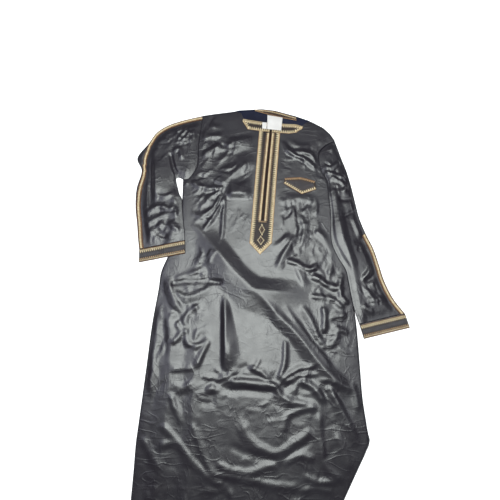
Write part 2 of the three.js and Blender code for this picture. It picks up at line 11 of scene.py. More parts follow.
import bpy
import numpy as np
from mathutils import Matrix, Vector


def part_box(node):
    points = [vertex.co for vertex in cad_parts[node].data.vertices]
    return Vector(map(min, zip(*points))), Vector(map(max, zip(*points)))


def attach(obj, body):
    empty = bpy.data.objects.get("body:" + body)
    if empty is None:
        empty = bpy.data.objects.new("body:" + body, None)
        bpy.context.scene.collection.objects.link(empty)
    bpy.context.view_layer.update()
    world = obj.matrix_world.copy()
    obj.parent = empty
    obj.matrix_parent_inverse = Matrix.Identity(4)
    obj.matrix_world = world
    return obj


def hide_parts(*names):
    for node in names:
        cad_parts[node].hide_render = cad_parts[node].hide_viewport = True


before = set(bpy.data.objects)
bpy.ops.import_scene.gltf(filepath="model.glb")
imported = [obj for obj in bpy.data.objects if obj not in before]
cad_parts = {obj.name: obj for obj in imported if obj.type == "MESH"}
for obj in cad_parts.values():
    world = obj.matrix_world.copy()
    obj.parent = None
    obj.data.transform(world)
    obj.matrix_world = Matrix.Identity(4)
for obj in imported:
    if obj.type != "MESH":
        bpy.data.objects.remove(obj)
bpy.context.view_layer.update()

MM = 0.001
ORIGIN_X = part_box("back_panel")[0].x + 345 * MM  # the back panel starts 345 mm left of x = 0
ORIGIN_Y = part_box("back_panel")[0].y

# Cloth and the heights of its layers above the surface
WALL = 0.8
FRONT_TOP = 2.7
BACK_TOP = 1.2
PUFF = 1.6  # air between the front and the back, away from the edges
BAND = 0.8
LAYER_GAP = 0.3
TUCK = 2.4  # the turned-under corner
TUCK_LIFT = 2.7
TUCK_REACH, TUCK_CLEAR, TUCK_ROLL = 0.985, 0.05, 1 / 48  # shares of its outline, and room below it
LABEL_WALL = 0.5
ARMPIT_Y = 1113
BRAID_WIDTH = 14
BRAID_LEFT_START = 0.58  # share of the left sleeve above which its braid is rolled under
SEED = 7

# Side edges of the body from hem to armpit: y, right side, left side
SIDES = np.array([
    (0, -345, 186), (75, -342, 229), (150, -339, 271), (225, -336, 313), (270, -335, 338),
    (295, -334, 349), (330, -331, 346), (420, -323, 337), (500, -316, 335), (650, -303, 330),
    (745, -290, 321), (800, -284, 312), (850, -265, 301), (900, -243, 290), (1000, -228, 272),
    (ARMPIT_Y, -226, 262),
], float)
ARMHOLE_RIGHT = [(-226, ARMPIT_Y), (-203, 1120), (-178, 1167), (-176, 1249), (-165, 1352)]
ARMHOLE_LEFT = [(262, ARMPIT_Y), (244, 1142), (235, 1175), (236, 1212), (258, 1238), (293, 1257)]
SHOULDER_RIGHT = [(-165, 1352), (-116, 1360), (-50, 1369), (-33, 1364)]
SHOULDER_LEFT = [(200, 1328), (214, 1329), (254, 1306), (278, 1282), (293, 1257)]
NECKLINE = [(-22, 1340), (0, 1335), (43, 1328), (116, 1320), (161, 1319), (180, 1311)]
FRONT_TOP_EDGE = SHOULDER_RIGHT + NECKLINE + SHOULDER_LEFT
BACK_TOP_EDGE = [
    (-165, 1352), (-116, 1361), (-37, 1373), (42, 1378), (88, 1372), (161, 1350), (214, 1330), (254, 1306),
    (278, 1282), (293, 1257),
]
SLIT = np.array([(41, 968, 4), (56, 1131, 3.5), (71, 1279, 3), (75, 1345, 3)], float)  # x, y, half width

# Sleeves from armhole to cuff: outer edge, inner edge, and the braid's distance from the outer edge
SLEEVE_RIGHT = np.array([
    (-165, 1352, -226, 1113, 2), (-206, 1342, -234, 1118, 2), (-245, 1331, -243, 1121, 2),
    (-288, 1314, -250, 1117, 2), (-325, 1287, -249, 1107, 2), (-351, 1246, -246, 1094, 3),
    (-386, 1193, -241, 1076, 30), (-369, 1145, -236, 1060, 5), (-382, 1082, -227, 1042, 6),
    (-382, 1020, -224, 1010, 4), (-373, 958, -219, 965, 3), (-367, 910, -214, 930, 2),
    (-361, 873, -212, 902, 2),
], float)
SLEEVE_LEFT = np.array([
    (293, 1257, 262, 1113, 2), (303, 1225, 264, 1094, 2), (315, 1185, 263, 1054, 2),
    (329, 1142, 266, 1010, 2), (342, 1086, 266, 965, 2), (352, 1030, 264, 925, 2), (362, 978, 268, 885, 2),
    (380, 925, 284, 845, 2), (401, 876, 306, 805, 2), (415, 826, 313, 770, 2), (429, 770, 318, 732, 2),
    (453, 714, 326, 684, 2), (487, 666, 341, 632, 2),
], float)
CUFF_END_RIGHT = (-358, 830, -208, 859)  # outer and inner corner
CUFF_END_LEFT = (497, 624, 351, 590)

# Embroidered bands and labels. The neckbands' columns are x, upper edge and lower edge
NECKBAND = np.array([
    (-24, 1338, 1326), (-8, 1334, 1298), (38, 1326, 1291), (69, 1322, 1287), (102, 1319, 1284),
    (135, 1317, 1281), (160, 1316, 1285), (184, 1308, 1303),
], float)
NECKBAND_BACK = np.array([
    (18, 1376, 1370), (63, 1372, 1356), (88, 1367, 1349), (116, 1359, 1342), (162, 1344, 1333),
], float)
PLACKET_ENDS = (32, 104)  # places across where it meets the neckband
PLACKET_EDGE = [(20, 1149), (5, 964), (-2, 893), (32, 855), (71, 893), (77, 964), (92, 1149)]
PLACKET_TOP, TAB_TOP = 1287, 893
PLACKET_LIFT, PLACKET_SLANT = 2.5, 0.105  # its top edge above PLACKET_TOP, and how it falls to the left
SLIT_MARGIN = 0.5
NECKBAND_CUTS = (1325, 1288)  # heights where the slit cuts the band's upper and lower edge
SLIT_BAR = [(28, 966), (54, 964)]
DIAMONDS = [(39, 938, 10, 20), (35, 902, 12, 16)]  # on the tab: middle, half width, half height
TAB_CHEVRON = [(12, 893), (33, 869), (58, 893)]
POCKET_TOP = [(117, 1118), (169, 1121), (183, 1118), (219, 1107)]
POCKET_FOOT = [(113, 1098), (173, 1060), (222, 1077)]
NECK_LABEL = [(59, 1298), (108, 1292)], [(61, 1353), (114, 1343)]  # lower edge, upper edge
SIZE_LABEL = [(42, 1300), (57, 1298)], [(43, 1324), (58.5, 1322)]
LABEL_RISE, LABEL_BACK_RISE, LABEL_CURL = 0.9, 1.2, 0.35  # above the bands on the front and the back
LABEL_DROP = (1331, 1346)  # heights between which the neck label comes down from the front to the back
HEM_STITCH, SIDE_STITCH, SEAM_STITCH = 24, 5, 5  # distances of the stitching from the edges
CORNER = [(344, 287), (104, 142), (186, 4)]  # the turned-under corner

# Places where the cloth lies smooth, under bands and sleeves: a line and its reach
SMOOTH = [
    ((70, 1290), (36, 850), 52), ((-60, 1330), (215, 1300), 60), ((130, 1095), (205, 1092), 50),
    ((-235, 835), (-235, 1010), 62), ((290, 840), (268, 1040), 40),
]
SMOOTH_FADE = 30

# How the body's cloth falls to its edges and over the turned-under corner
ROW_GUIDE = [(-165, -50, 60, 190, 293), (1352, 1352, 1328, 1318, 1257)]  # x and y that the yoke's rows aim at
CORNER_CLEAR, CORNER_RAMP = 55, 150
EDGE_ROLL, EDGE_LOW = 6.0, 0.95  # the front's sides roll down over this width, to this height
SEAM_ROLL, SEAM_LOW = 5.0, 2.2  # and its armholes over this one
CALM_EDGE, RELIEF_EDGE, PUFF_REACH = 24, 14, 18  # distances from an edge over which folds and air build up

# Broad swells: height, and shortest and longest wave
SWELLS = 16
FRONT_SWELL = (1.0, 70, 260)
BACK_SWELL = (0.12, 60, 200)
SLEEVE_SWELL = (0.8, 50, 160)
UNDER_BAND_SWELL = 0.35  # share of it that is left under bands and sleeves
FOOT_RANGE = (320, 480)  # the skirt's foot lies flatter below these heights
FOOT_FOLDS, FOOT_SWELL = 0.4, 0.6

# Folds of the front: height (troughs are negative), width on the left and right of the way it runs (from
# start to end where there are two), and its line
FOLDS = [
    # the long diagonal from the right side seam to the middle of the waist
    (16, (44, 50), (60, 100), [
        (-176, 958), (-114, 878), (-56, 806), (4, 750), (44, 738), (100, 732), (160, 726), (214, 716),
    ]),
    # its edge goes on down to the left of the skirt
    (11, 30, (26, 46), [(-66, 744), (18, 734), (96, 654), (150, 600), (213, 517), (262, 466), (312, 430)]),
    (6, 12, 26, [(97, 715), (130, 660), (173, 600), (215, 546), (256, 489)]),
    (6, 14, 22, [(153, 704), (185, 654), (206, 605), (232, 557)]),
    # the wedge under the waist, between a press fold and the smooth middle of the skirt
    (12, (6, 72), 12, [(-80, 740), (-78, 650), (-77, 560), (-76, 478)]),
    # waist, right side: the pocket-like folds
    (6, 12, 26, [(-250, 800), (-254, 756), (-232, 704), (-200, 664)]),
    (-6, 10, 10, [(-256, 762), (-190, 768), (-130, 768), (-82, 764)]),
    (6, 20, 10, [(-250, 778), (-206, 790), (-170, 800), (-150, 815)]),
    (5, 12, 24, [(-250, 748), (-212, 722), (-176, 724), (-136, 742), (-104, 752)]),
    (5, 12, 12, [(-228, 868), (-232, 830), (-240, 800)]),
    (5, 12, 16, [(-150, 870), (-164, 836), (-182, 815)]),
    (4, 14, 10, [(-112, 880), (-128, 846), (-136, 815)]),
    (4, 16, 12, [(-150, 700), (-180, 680), (-204, 650), (-196, 620)]),
    (4, 10, 16, [(-228, 592), (-202, 618), (-192, 580), (-152, 572), (-122, 598)]),
    (3, 22, 10, [(-250, 500), (-206, 502), (-164, 504)]),
    (5, 14, 12, [(-166, 500), (-146, 548), (-122, 596)]),
    (4, 12, 12, [(-236, 650), (-214, 612), (-242, 570)]),
    # chest, right side
    (7, 50, 32, [(-114, 1080), (-66, 1122), (-22, 1162), (24, 1196)]),
    (6, 14, 34, [(-174, 1190), (-134, 1222), (-88, 1240)]),
    (8, 18, 50, [(-90, 1222), (-52, 1252), (-8, 1264), (36, 1260)]),
    (5, 12, 12, [(-200, 1112), (-166, 1086), (-120, 1080), (-80, 1088)]),
    (4, 8, 12, [(-88, 1076), (-124, 1056), (-152, 1028)]),
    (5, 12, 10, [(-80, 1060), (-102, 1012), (-138, 956), (-158, 930)]),
    (4, 9, 10, [(-92, 1066), (-118, 1016), (-160, 980), (-192, 962)]),
    (4, 10, 10, [(-86, 1050), (-88, 980), (-92, 920), (-104, 880)]),
    (5, 12, 14, [(-210, 1002), (-170, 988), (-140, 996), (-116, 1010)]),
    (4, 10, 12, [(-190, 1136), (-212, 1108), (-222, 1086)]),
    (4, 12, 14, [(-206, 960), (-170, 940), (-140, 905)]),
    (5, 18, 14, [(-150, 1322), (-110, 1306), (-70, 1312), (-40, 1330)]),
    (4, 12, 14, [(-172, 1290), (-140, 1268), (-92, 1282)]),
    # chest, left side
    (7, 14, 12, [(110, 1262), (124, 1226), (152, 1200), (188, 1184), (212, 1162), (230, 1146)]),
    (6, 16, 12, [(146, 1216), (178, 1210), (204, 1202), (224, 1182), (238, 1156)]),
    (4, 18, 14, [(122, 1276), (158, 1240), (196, 1236), (232, 1248)]),
    (5, 14, 14, [(240, 1296), (248, 1262), (240, 1226)]),
    (5, 10, 12, [(196, 1288), (226, 1268), (250, 1240)]),
    (4, 8, 8, [(222, 1110), (248, 1113), (278, 1100)]),
    (5, 12, 14, [(96, 1064), (112, 1036), (136, 1052), (150, 1020)]),
    (5, 10, 12, [(152, 1052), (182, 1040), (220, 1036)]),
    (4, 8, 12, [(216, 1058), (222, 1020), (216, 980)]),
    (3, 9, 20, [(142, 1010), (150, 940), (140, 880)]),
    (3, 20, 9, [(166, 1000), (176, 930), (162, 868)]),
    # from the placket's point to the left
    (7, 12, 30, [(50, 868), (96, 892), (136, 930)]),
    (8, 16, 22, [(80, 796), (104, 850), (132, 894), (146, 930)]),
    (7, 20, 16, [(206, 940), (238, 914), (266, 872), (284, 836)]),
    (6, 14, 12, [(106, 838), (142, 828), (190, 806), (226, 824)]),
    (4, 22, 12, [(142, 826), (160, 786), (176, 740)]),
    (6, 14, 14, [(190, 798), (226, 770), (262, 750), (300, 752)]),
    (5, 12, 14, [(180, 724), (232, 716), (268, 706), (300, 674)]),
    (6, 12, 12, [(268, 870), (264, 828), (252, 782)]),
    (5, 10, 14, [(300, 800), (286, 764), (288, 720), (312, 690)]),
    (6, 14, 12, [(228, 700), (232, 652), (226, 600)]),
    (5, 14, 14, [(240, 650), (276, 662), (306, 650)]),
    (4, 14, 12, [(240, 596), (280, 616), (312, 600)]),
    (5, 16, 14, [(276, 640), (262, 590), (236, 560)]),
    # left edge of the skirt, down to the turned corner
    (7, 16, 22, [(206, 524), (240, 486), (276, 458), (322, 434)]),
    (10, 14, 26, [(228, 474), (258, 410), (290, 346), (318, 282)]),
    (5, 16, 14, [(300, 470), (318, 420), (322, 372)]),
    # the roll across the skirt
    (7, 14, 28, [(-86, 462), (-30, 466), (30, 462), (72, 452), (98, 420), (150, 404), (204, 402)]),
    (-5, 12, 16, [(-84, 440), (-20, 442), (46, 436), (84, 440)]),
    (5, 14, 12, [(-8, 506), (30, 494), (66, 464)]),
    (5, 10, 14, [(84, 466), (104, 520), (108, 596)]),
    (5, 14, 10, [(90, 464), (132, 494), (196, 514)]),
    (4, 10, 12, [(96, 460), (150, 482), (222, 490)]),
    (6, 14, 16, [(140, 474), (188, 450), (214, 420), (232, 404)]),
    (4, 10, 12, [(-50, 486), (-100, 474), (-150, 482)]),
    (3, 10, 24, [(-242, 462), (-200, 452), (-160, 470)]),
    (5, 12, 12, [(-238, 436), (-220, 384), (-196, 340)]),
    (4, 12, 14, [(-140, 440), (-110, 446), (-80, 440)]),
    # the round fold below it
    (8, 16, 26, [(-30, 366), (-6, 312), (36, 280), (78, 268), (122, 292), (190, 334)]),
    (-6, 14, 14, [(-64, 290), (0, 262), (56, 252), (86, 240), (122, 268), (190, 310)]),
    (6, 14, 14, [(96, 318), (112, 368), (152, 386), (204, 398)]),
    (7, 16, 16, [(-104, 244), (-60, 224), (0, 216), (52, 234), (98, 246), (146, 262), (194, 246)]),
    (6, 16, 14, [(-136, 214), (-60, 206), (0, 196), (64, 184), (144, 178)]),
    (8, 14, 20, [(202, 380), (206, 310), (214, 246), (244, 208), (276, 196)]),
    (6, 12, 14, [(148, 214), (196, 192), (258, 196)]),
    (5, 12, 14, [(140, 168), (190, 176), (240, 164)]),
    (6, 14, 16, [(250, 330), (282, 250), (290, 214)]),
    # low on the skirt: the crossed folds on the right, and those that run down to the hem
    (7, 12, 18, [(-262, 352), (-206, 292), (-152, 232), (-104, 194), (-58, 182)]),
    (6, 12, 14, [(-172, 356), (-150, 300), (-122, 236), (-96, 200)]),
    (6, 16, 18, [(-322, 318), (-286, 266), (-252, 212)]),
    (6, 18, 14, [(-272, 280), (-230, 296), (-196, 288)]),
    (5, 14, 14, [(-300, 176), (-282, 150), (-262, 190)]),
    (5, 12, 14, [(-58, 182), (-100, 168), (-136, 176)]),
    (7, 12, 14, [(-60, 182), (-46, 120), (-42, 40), (-44, 4)]),
    (5, 14, 16, [(-190, 170), (-184, 100), (-196, 20)]),
    (5, 16, 14, [(-286, 140), (-276, 70), (-284, 6)]),
    (6, 14, 18, [(150, 160), (116, 110), (66, 80), (10, 66)]),
    (5, 14, 16, [(20, 160), (52, 90), (46, 10)]),
    (5, 12, 14, [(110, 130), (130, 70), (122, 6)]),
    (5, 14, 12, [(-160, 120), (-120, 80), (-70, 66)]),
    # chest: the facets beside the slit
    (9, 84, 20, [(-90, 1062), (-40, 1064), (16, 1062)]),
    (7, 70, 16, [(94, 1066), (160, 1050), (232, 1056)]),
]
FOLD_CREST = 1.8
FOLD_STRENGTH = 0.85
FLANK_FOOT = 0.22  # share of a fold's flank that rounds into the cloth beside it
BLEND = 3.0  # crossing folds blend and don't pile up
DEEPEST = 2.4  # no trough of the front goes deeper than this

# Creases left by storage, long and sharp, in the same columns
PRESS_FOLDS = [
    (3.4, 50, 60, [(-76, 1064), (-30, 1066), (16, 1064)]),
    (2.6, 40, 40, [(96, 1066), (160, 1052), (232, 1060)]),
    (3.0, 40, 46, [(-244, 742), (-246, 600), (-244, 460), (-252, 330), (-262, 180), (-270, 4)]),
    (3.0, 34, 34, [(-168, 640), (-168, 500), (-170, 360), (-178, 200), (-180, 10)]),
    (2.6, 40, 34, [(86, 430), (84, 340), (80, 250)]),
    (2.6, 34, 40, [(206, 500), (208, 420), (204, 330)]),
    (2.6, 26, 30, [(-286, 720), (-294, 560), (-300, 420)]),
    (2.4, 24, 24, [(-62, 600), (-62, 520), (-60, 470)]),
]
PRESS_CREST = 0.6

# Where small crumples gather: middle, reach, count, direction and its spread in degrees, length, height
# and width
CRUMPLES = [
    (-110, 1290, 75, 50, 26, 10, 60, 50, 2.2, 9), (-110, 1180, 80, 90, 34, 35, 50, 55, 2.2, 9),
    (-150, 1040, 60, 60, 26, 45, 35, 60, 2.4, 8), (-30, 1150, 40, 80, 12, 40, 30, 55, 1.6, 10),
    (-28, 975, 34, 34, 12, 62, 6, 42, 1.3, 5), (160, 1200, 70, 70, 18, -35, 35, 55, 2.0, 9),
    (230, 1260, 45, 40, 18, 60, 50, 40, 2.4, 8), (235, 1080, 40, 60, 18, 80, 50, 50, 2.0, 8),
    (150, 1000, 50, 70, 22, 80, 40, 50, 2.2, 8), (225, 860, 80, 90, 90, 60, 60, 50, 1.5, 7),
    (255, 740, 70, 70, 80, 20, 60, 50, 1.5, 7), (270, 620, 60, 80, 60, 30, 55, 55, 1.3, 7),
    (-180, 810, 70, 70, 26, 30, 45, 45, 2.2, 9), (-190, 640, 60, 90, 26, 60, 45, 50, 1.8, 10),
    (-280, 560, 22, 160, 20, 88, 10, 90, 1.8, 9), (-130, 460, 110, 50, 24, 5, 35, 50, 2.0, 9),
    (90, 480, 120, 50, 22, 25, 40, 60, 2.0, 9), (-20, 350, 120, 80, 34, 20, 60, 55, 1.4, 10),
    (180, 370, 110, 110, 34, 70, 50, 60, 1.7, 10), (-220, 290, 100, 110, 36, -45, 40, 60, 1.6, 10),
    (40, 200, 180, 60, 36, 10, 40, 60, 1.5, 10), (-120, 80, 200, 75, 40, 70, 45, 70, 1.8, 11),
    (90, 70, 110, 60, 20, 60, 50, 60, 1.7, 11), (60, 620, 70, 60, 5, -45, 20, 60, 0.8, 10),
]
CRUMPLE_CREST = 0.7

# Folds of the sleeves' upper layers, in the same columns
SLEEVE_FOLDS = [
    # right
    (-4.2, 18, 5, [(-346, 1214), (-340, 1150), (-336, 1080), (-331, 1002)]),
    (6, 62, 15, [(-324, 1200), (-318, 1120), (-312, 1030)]),
    (3.5, 10, 14, [(-326, 1062), (-284, 1052), (-252, 1068)]),
    (3.5, 12, 12, [(-334, 1000), (-300, 1018), (-270, 1008), (-226, 1004)]),
    (3.5, 12, 14, [(-352, 948), (-310, 974), (-270, 992), (-226, 994)]),
    (3.5, 14, 14, [(-276, 974), (-300, 946), (-340, 918)]),
    (3.5, 14, 14, [(-276, 974), (-246, 946), (-216, 930)]),
    (-3, 12, 12, [(-318, 948), (-292, 924), (-262, 908)]),
    (-4, 8, 10, [(-272, 1212), (-256, 1150), (-234, 1118)]),
    (3, 12, 10, [(-266, 1214), (-240, 1222), (-232, 1180)]),
    (3.5, 10, 10, [(-304, 1272), (-276, 1288), (-262, 1308)]),
    (3.5, 8, 8, [(-252, 1256), (-232, 1280), (-214, 1304)]),
    (3, 8, 8, [(-236, 1250), (-218, 1272), (-204, 1294)]),
    (3, 8, 10, [(-262, 1290), (-240, 1300), (-220, 1316)]),
    (3.5, 12, 14, [(-348, 1228), (-356, 1204), (-364, 1180)]),
    # left
    (3.5, 12, 14, [(268, 1210), (290, 1244), (296, 1250)]),
    (4, 10, 12, [(242, 1166), (272, 1154), (312, 1180)]),
    (4, 8, 10, [(250, 1140), (292, 1128), (338, 1112)]),
    (3.5, 8, 10, [(256, 1132), (296, 1110), (322, 1092)]),
    (4, 14, 10, [(306, 1062), (324, 1084), (340, 1108)]),
    (-4, 10, 10, [(288, 1046), (320, 1042), (350, 1046)]),
    (5, 46, 34, [(288, 1012), (292, 965), (300, 915), (314, 870), (326, 825), (340, 785)]),
    (-3, 6, 8, [(298, 976), (324, 992), (354, 1008)]),
    (3, 8, 18, [(334, 990), (354, 942), (372, 900)]),
    (5, 10, 18, [(350, 764), (374, 794), (396, 830)]),
    (-4.5, 12, 12, [(356, 768), (382, 776), (410, 790)]),
    (4.5, 12, 12, [(396, 796), (414, 744), (436, 696)]),
    (3.5, 12, 12, [(352, 758), (380, 722), (400, 700)]),
    (3.5, 10, 10, [(366, 950), (378, 916), (392, 880)]),
    (3, 10, 12, [(372, 704), (412, 712), (440, 700)]),
    (3, 12, 12, [(350, 700), (372, 676), (390, 660)]),
]
SLEEVE_CRUMPLES = [
    (-235, 1280, 50, 45, 22, 45, 40, 36, 2.0, 7), (-300, 1230, 45, 50, 12, 60, 50, 40, 1.6, 8),
    (-280, 1000, 60, 70, 22, 20, 50, 40, 1.8, 8), (-280, 900, 60, 30, 10, 20, 40, 36, 1.6, 8),
    (280, 1130, 40, 60, 20, 30, 50, 40, 2.0, 7), (320, 1010, 40, 60, 5, 60, 40, 44, 1.4, 8),
    (375, 900, 30, 60, 8, 60, 40, 34, 1.6, 7), (330, 860, 40, 60, 3, 80, 20, 60, 1.0, 9),
    (390, 720, 50, 50, 24, 30, 60, 38, 2.0, 8),
]


def smoothstep(low, high, value):
    t = np.clip((value - low) / (high - low), 0, 1)
    return t * t * (3 - 2 * t)


def mix(a, b, share):
    return a + (b - a) * share


def place(x, y, z):
    """Plan points in millimetres as points of the frame."""
    return np.stack([np.asarray(x) * MM + ORIGIN_X, np.asarray(y) * MM + ORIGIN_Y, np.asarray(z) * MM], -1)


def row_curve(points, share):
    """Points on a smooth curve through the rows of a table, at shares of its row count."""
    p = np.asarray(points, float)
    p = np.vstack([2 * p[0] - p[1], p, 2 * p[-1] - p[-2]])
    at = np.asarray(share, float) * (len(p) - 3)
    i = np.clip(at.astype(int), 0, len(p) - 4)
    t = (at - i)[..., None]
    a, b, c, d = p[i], p[i + 1], p[i + 2], p[i + 3]
    return 0.5 * (2 * b + (c - a) * t + (2 * a - 5 * b + 4 * c - d) * t**2 + (3 * b - a - 3 * c + d) * t**3)


def even_points(line, shares):
    """Points at shares of a polyline's length."""
    line = np.asarray(line, float)
    along = np.r_[0, np.cumsum(np.linalg.norm(np.diff(line, axis=0), axis=1))]
    at = np.asarray(shares) * along[-1]
    return np.stack([np.interp(at, along, line[:, k]) for k in range(line.shape[1])], -1)


def length_of(line):
    return np.linalg.norm(np.diff(np.asarray(line, float), axis=0), axis=1).sum()


def fine(points, step=8.0):
    """A smooth line through a few points, as short straight steps."""
    count = max(4, int(length_of(points) / step))
    return row_curve(points, np.linspace(0, 1, count + 1))


def unit(ways):
    return ways / np.linalg.norm(ways, axis=1, keepdims=True)


def left_of(ways):
    """Directions turned a quarter to the left."""
    return np.stack([-ways[:, 1], ways[:, 0]], -1)


def offset_line(line, distance):
    """A polyline moved to its left, or to its right where distance is negative, with mitred corners."""
    line = np.asarray(line, float)
    sides = left_of(unit(np.diff(line, axis=0)))
    corner = np.vstack([sides[:1], sides[:-1] + sides[1:], sides[-1:]])
    mitre = 2 / (corner**2).sum(1)
    mitre[[0, -1]] = 1
    return line + corner * (distance * mitre)[:, None]


def distance_to(line, x, y):
    """Distance in plan to a polyline, the side it is on, and how far along it the nearest point is."""
    best = np.full(x.shape, np.inf)
    side, along = np.zeros_like(x), np.zeros_like(x)
    start = 0.0
    for a, b in zip(line, line[1:]):
        step = b - a
        length = math.hypot(*step)
        t = np.clip(((x - a[0]) * step[0] + (y - a[1]) * step[1]) / length**2, 0, 1)
        ex, ey = x - a[0] - t * step[0], y - a[1] - t * step[1]
        away = np.hypot(ex, ey)
        closer = away < best
        best = np.where(closer, away, best)
        side = np.where(closer, step[0] * ey - step[1] * ex, side)
        along = np.where(closer, start + t * length, along)
        start += length
    return best, side, along


def nearest(lines, x, y):
    return np.min([distance_to(line, x, y)[0] for line in lines], axis=0)


def fold_field(folds, x, y, crest):
    """Height that a table of folds gives the cloth; crest is how far its ridges round off."""
    ridges, troughs = np.zeros_like(x), np.zeros_like(x)
    for height, left, right, points in folds:
        line = fine(points)
        reach = max(np.max(left), np.max(right))
        low, high = line.min(0) - reach, line.max(0) + reach
        near = (x > low[0]) & (x < high[0]) & (y > low[1]) & (y < high[1])
        if not near.any():
            continue
        away, side, along = distance_to(line, x[near], y[near])
        length = length_of(line)
        width = [np.interp(along, [0, length], np.broadcast_to(w, 2)) for w in (left, right)]
        flank = np.clip(1 - (np.hypot(away, crest) - crest) / np.where(side > 0, *width), 0, 1)
        profile = np.where(flank < FLANK_FOOT, flank**2 / (2 * FLANK_FOOT), flank - FLANK_FOOT / 2)
        profile = profile / (1 - FLANK_FOOT / 2)
        ends = smoothstep(0, min(0.3 * length, 1.6 * reach), np.minimum(along, length - along))
        target = ridges if height > 0 else troughs
        target[near] += (profile * ends * abs(height)) ** BLEND
    return ridges ** (1 / BLEND) - troughs ** (1 / BLEND)


def crumple_folds(regions, seed):
    """Small folds, drawn once from a seeded source, where a table says that they gather."""
    draw = np.random.default_rng(seed)
    rows = []
    for mid_x, mid_y, reach_x, reach_y, count, angle, spread, length, height, width in regions:
        for _ in range(count):
            out, turn = math.sqrt(draw.random()), draw.uniform(0, 2 * math.pi)
            x, y = mid_x + reach_x * out * math.cos(turn), mid_y + reach_y * out * math.sin(turn)
            way = math.radians(draw.normal(angle, spread))
            half = length * draw.uniform(0.3, 0.75)
            bow = half * draw.uniform(-0.35, 0.35)
            cx, cy = math.cos(way), math.sin(way)
            middle = (x - bow * cy, y + bow * cx)
            points = [(x - half * cx, y - half * cy), middle, (x + half * cx, y + half * cy)]
            size = height * draw.uniform(0.35, 1.1) * (1 if draw.random() < 0.65 else -1)
            steep, slack = width * draw.uniform(0.5, 0.9), width * draw.uniform(1.1, 2.6)
            rows.append((size, *((steep, slack) if draw.random() < 0.5 else (slack, steep)), points))
    return rows


def waves(x, y, seed, height, shortest, longest):
    """Broad soft swells of the cloth."""
    draw = np.random.default_rng(seed)
    z = np.zeros_like(x)
    for _ in range(SWELLS):
        long_, way = draw.uniform(shortest, longest), draw.uniform(0, math.pi)
        start = draw.uniform(0, 2 * math.pi)
        z += long_ / longest * np.sin((x * math.cos(way) + y * math.sin(way)) * 2 * math.pi / long_ + start)
    return height * z / math.sqrt(SWELLS)


# --- the body's form -------------------------------------------------------------------------------------


def side_edge(y, column):
    """Side edge of the body at a height above the hem, smooth through its table."""
    ys, xs = SIDES[:, 0], SIDES[:, column]
    i = np.clip(np.searchsorted(ys, y) - 1, 0, len(ys) - 2)
    slope = np.gradient(xs, ys)
    h = ys[i + 1] - ys[i]
    t = (y - ys[i]) / h
    return (
        (2 * t**3 - 3 * t**2 + 1) * xs[i]
        + (t**3 - 2 * t**2 + t) * h * slope[i]
        + (3 * t**2 - 2 * t**3) * xs[i + 1]
        + (t**3 - t**2) * h * slope[i + 1]
    )


EDGE_ROWS = np.arange(0, ARMPIT_Y + 1, 21.0)
SIDE_LINES = [np.stack([side_edge(EDGE_ROWS, column), EDGE_ROWS], -1) for column in (1, 2)]
SHOULDER_LINES = [np.array(SHOULDER_RIGHT, float), np.array(SHOULDER_LEFT, float)]
RIGHT_SEAM = fine(ARMHOLE_RIGHT, 4)
LEFT_SEAM = fine(ARMHOLE_LEFT, 4)
ALL_CRUMPLES = crumple_folds(CRUMPLES, SEED)


def panel_points(u, up, top_edge):
    """Plan of a body panel: u across, and up from 0 at the hem over 1 at the armpits to 2 at the top edge."""
    edge = np.array(top_edge, float)
    y = np.minimum(up, 1) * ARMPIT_Y
    low_x = mix(side_edge(y, 1), side_edge(y, 2), u)
    v = np.clip(up - 1, 0, 1)
    right, left = even_points(RIGHT_SEAM, v[:, 0])[:, None, :], even_points(LEFT_SEAM, v[:, 0])[:, None, :]
    foot = mix(np.array(ARMHOLE_RIGHT[0], float), np.array(ARMHOLE_LEFT[0], float), u[..., None])
    head = mix(np.array(ARMHOLE_RIGHT[-1], float), np.array(ARMHOLE_LEFT[-1], float), u[..., None])
    bow = mix(right, left, u[..., None]) - mix(foot, head, v[..., None])
    plain_y = np.interp(head[..., 0], *ROW_GUIDE)
    top_y = np.interp(head[..., 0], edge[:, 0], edge[:, 1])
    top_y = mix(plain_y, top_y, smoothstep(0.5, 1, v))  # rows take the edge's steps near it only
    return mix(low_x, head[..., 0], v) + bow[..., 0], mix(y, top_y, v) + bow[..., 1] * (v > 0)


def slit_at(y):
    """Middle and half width of the neck slit."""
    return np.interp(y, SLIT[:, 1], SLIT[:, 0]), np.interp(y, SLIT[:, 1], SLIT[:, 2])


def looseness(x, y):
    """0 where the front lies smooth under a band or a sleeve, 1 well away from them."""
    share = np.ones_like(x)
    for a, b, reach in SMOOTH:
        away = distance_to(np.array([a, b], float), x, y)[0]
        share *= smoothstep(reach - SMOOTH_FADE, reach + SMOOTH_FADE, away)
    return share


def corner_lift(x, y):
    """Height that both panels gain over the turned-under corner."""
    ring = np.array(CORNER + CORNER[:1], float)
    inside = np.ones(x.shape, bool)
    for a, b in zip(ring, ring[1:]):
        inside &= (b[0] - a[0]) * (y - a[1]) - (b[1] - a[1]) * (x - a[0]) > 0
    away = np.where(inside, 0, distance_to(ring, x, y)[0])
    return TUCK_LIFT * (1 - smoothstep(CORNER_CLEAR, CORNER_CLEAR + CORNER_RAMP, away))


def rounded(share):
    """A quarter circle from 0 to 1."""
    return np.sqrt(1 - (1 - np.clip(share, 0, 1)) ** 2)


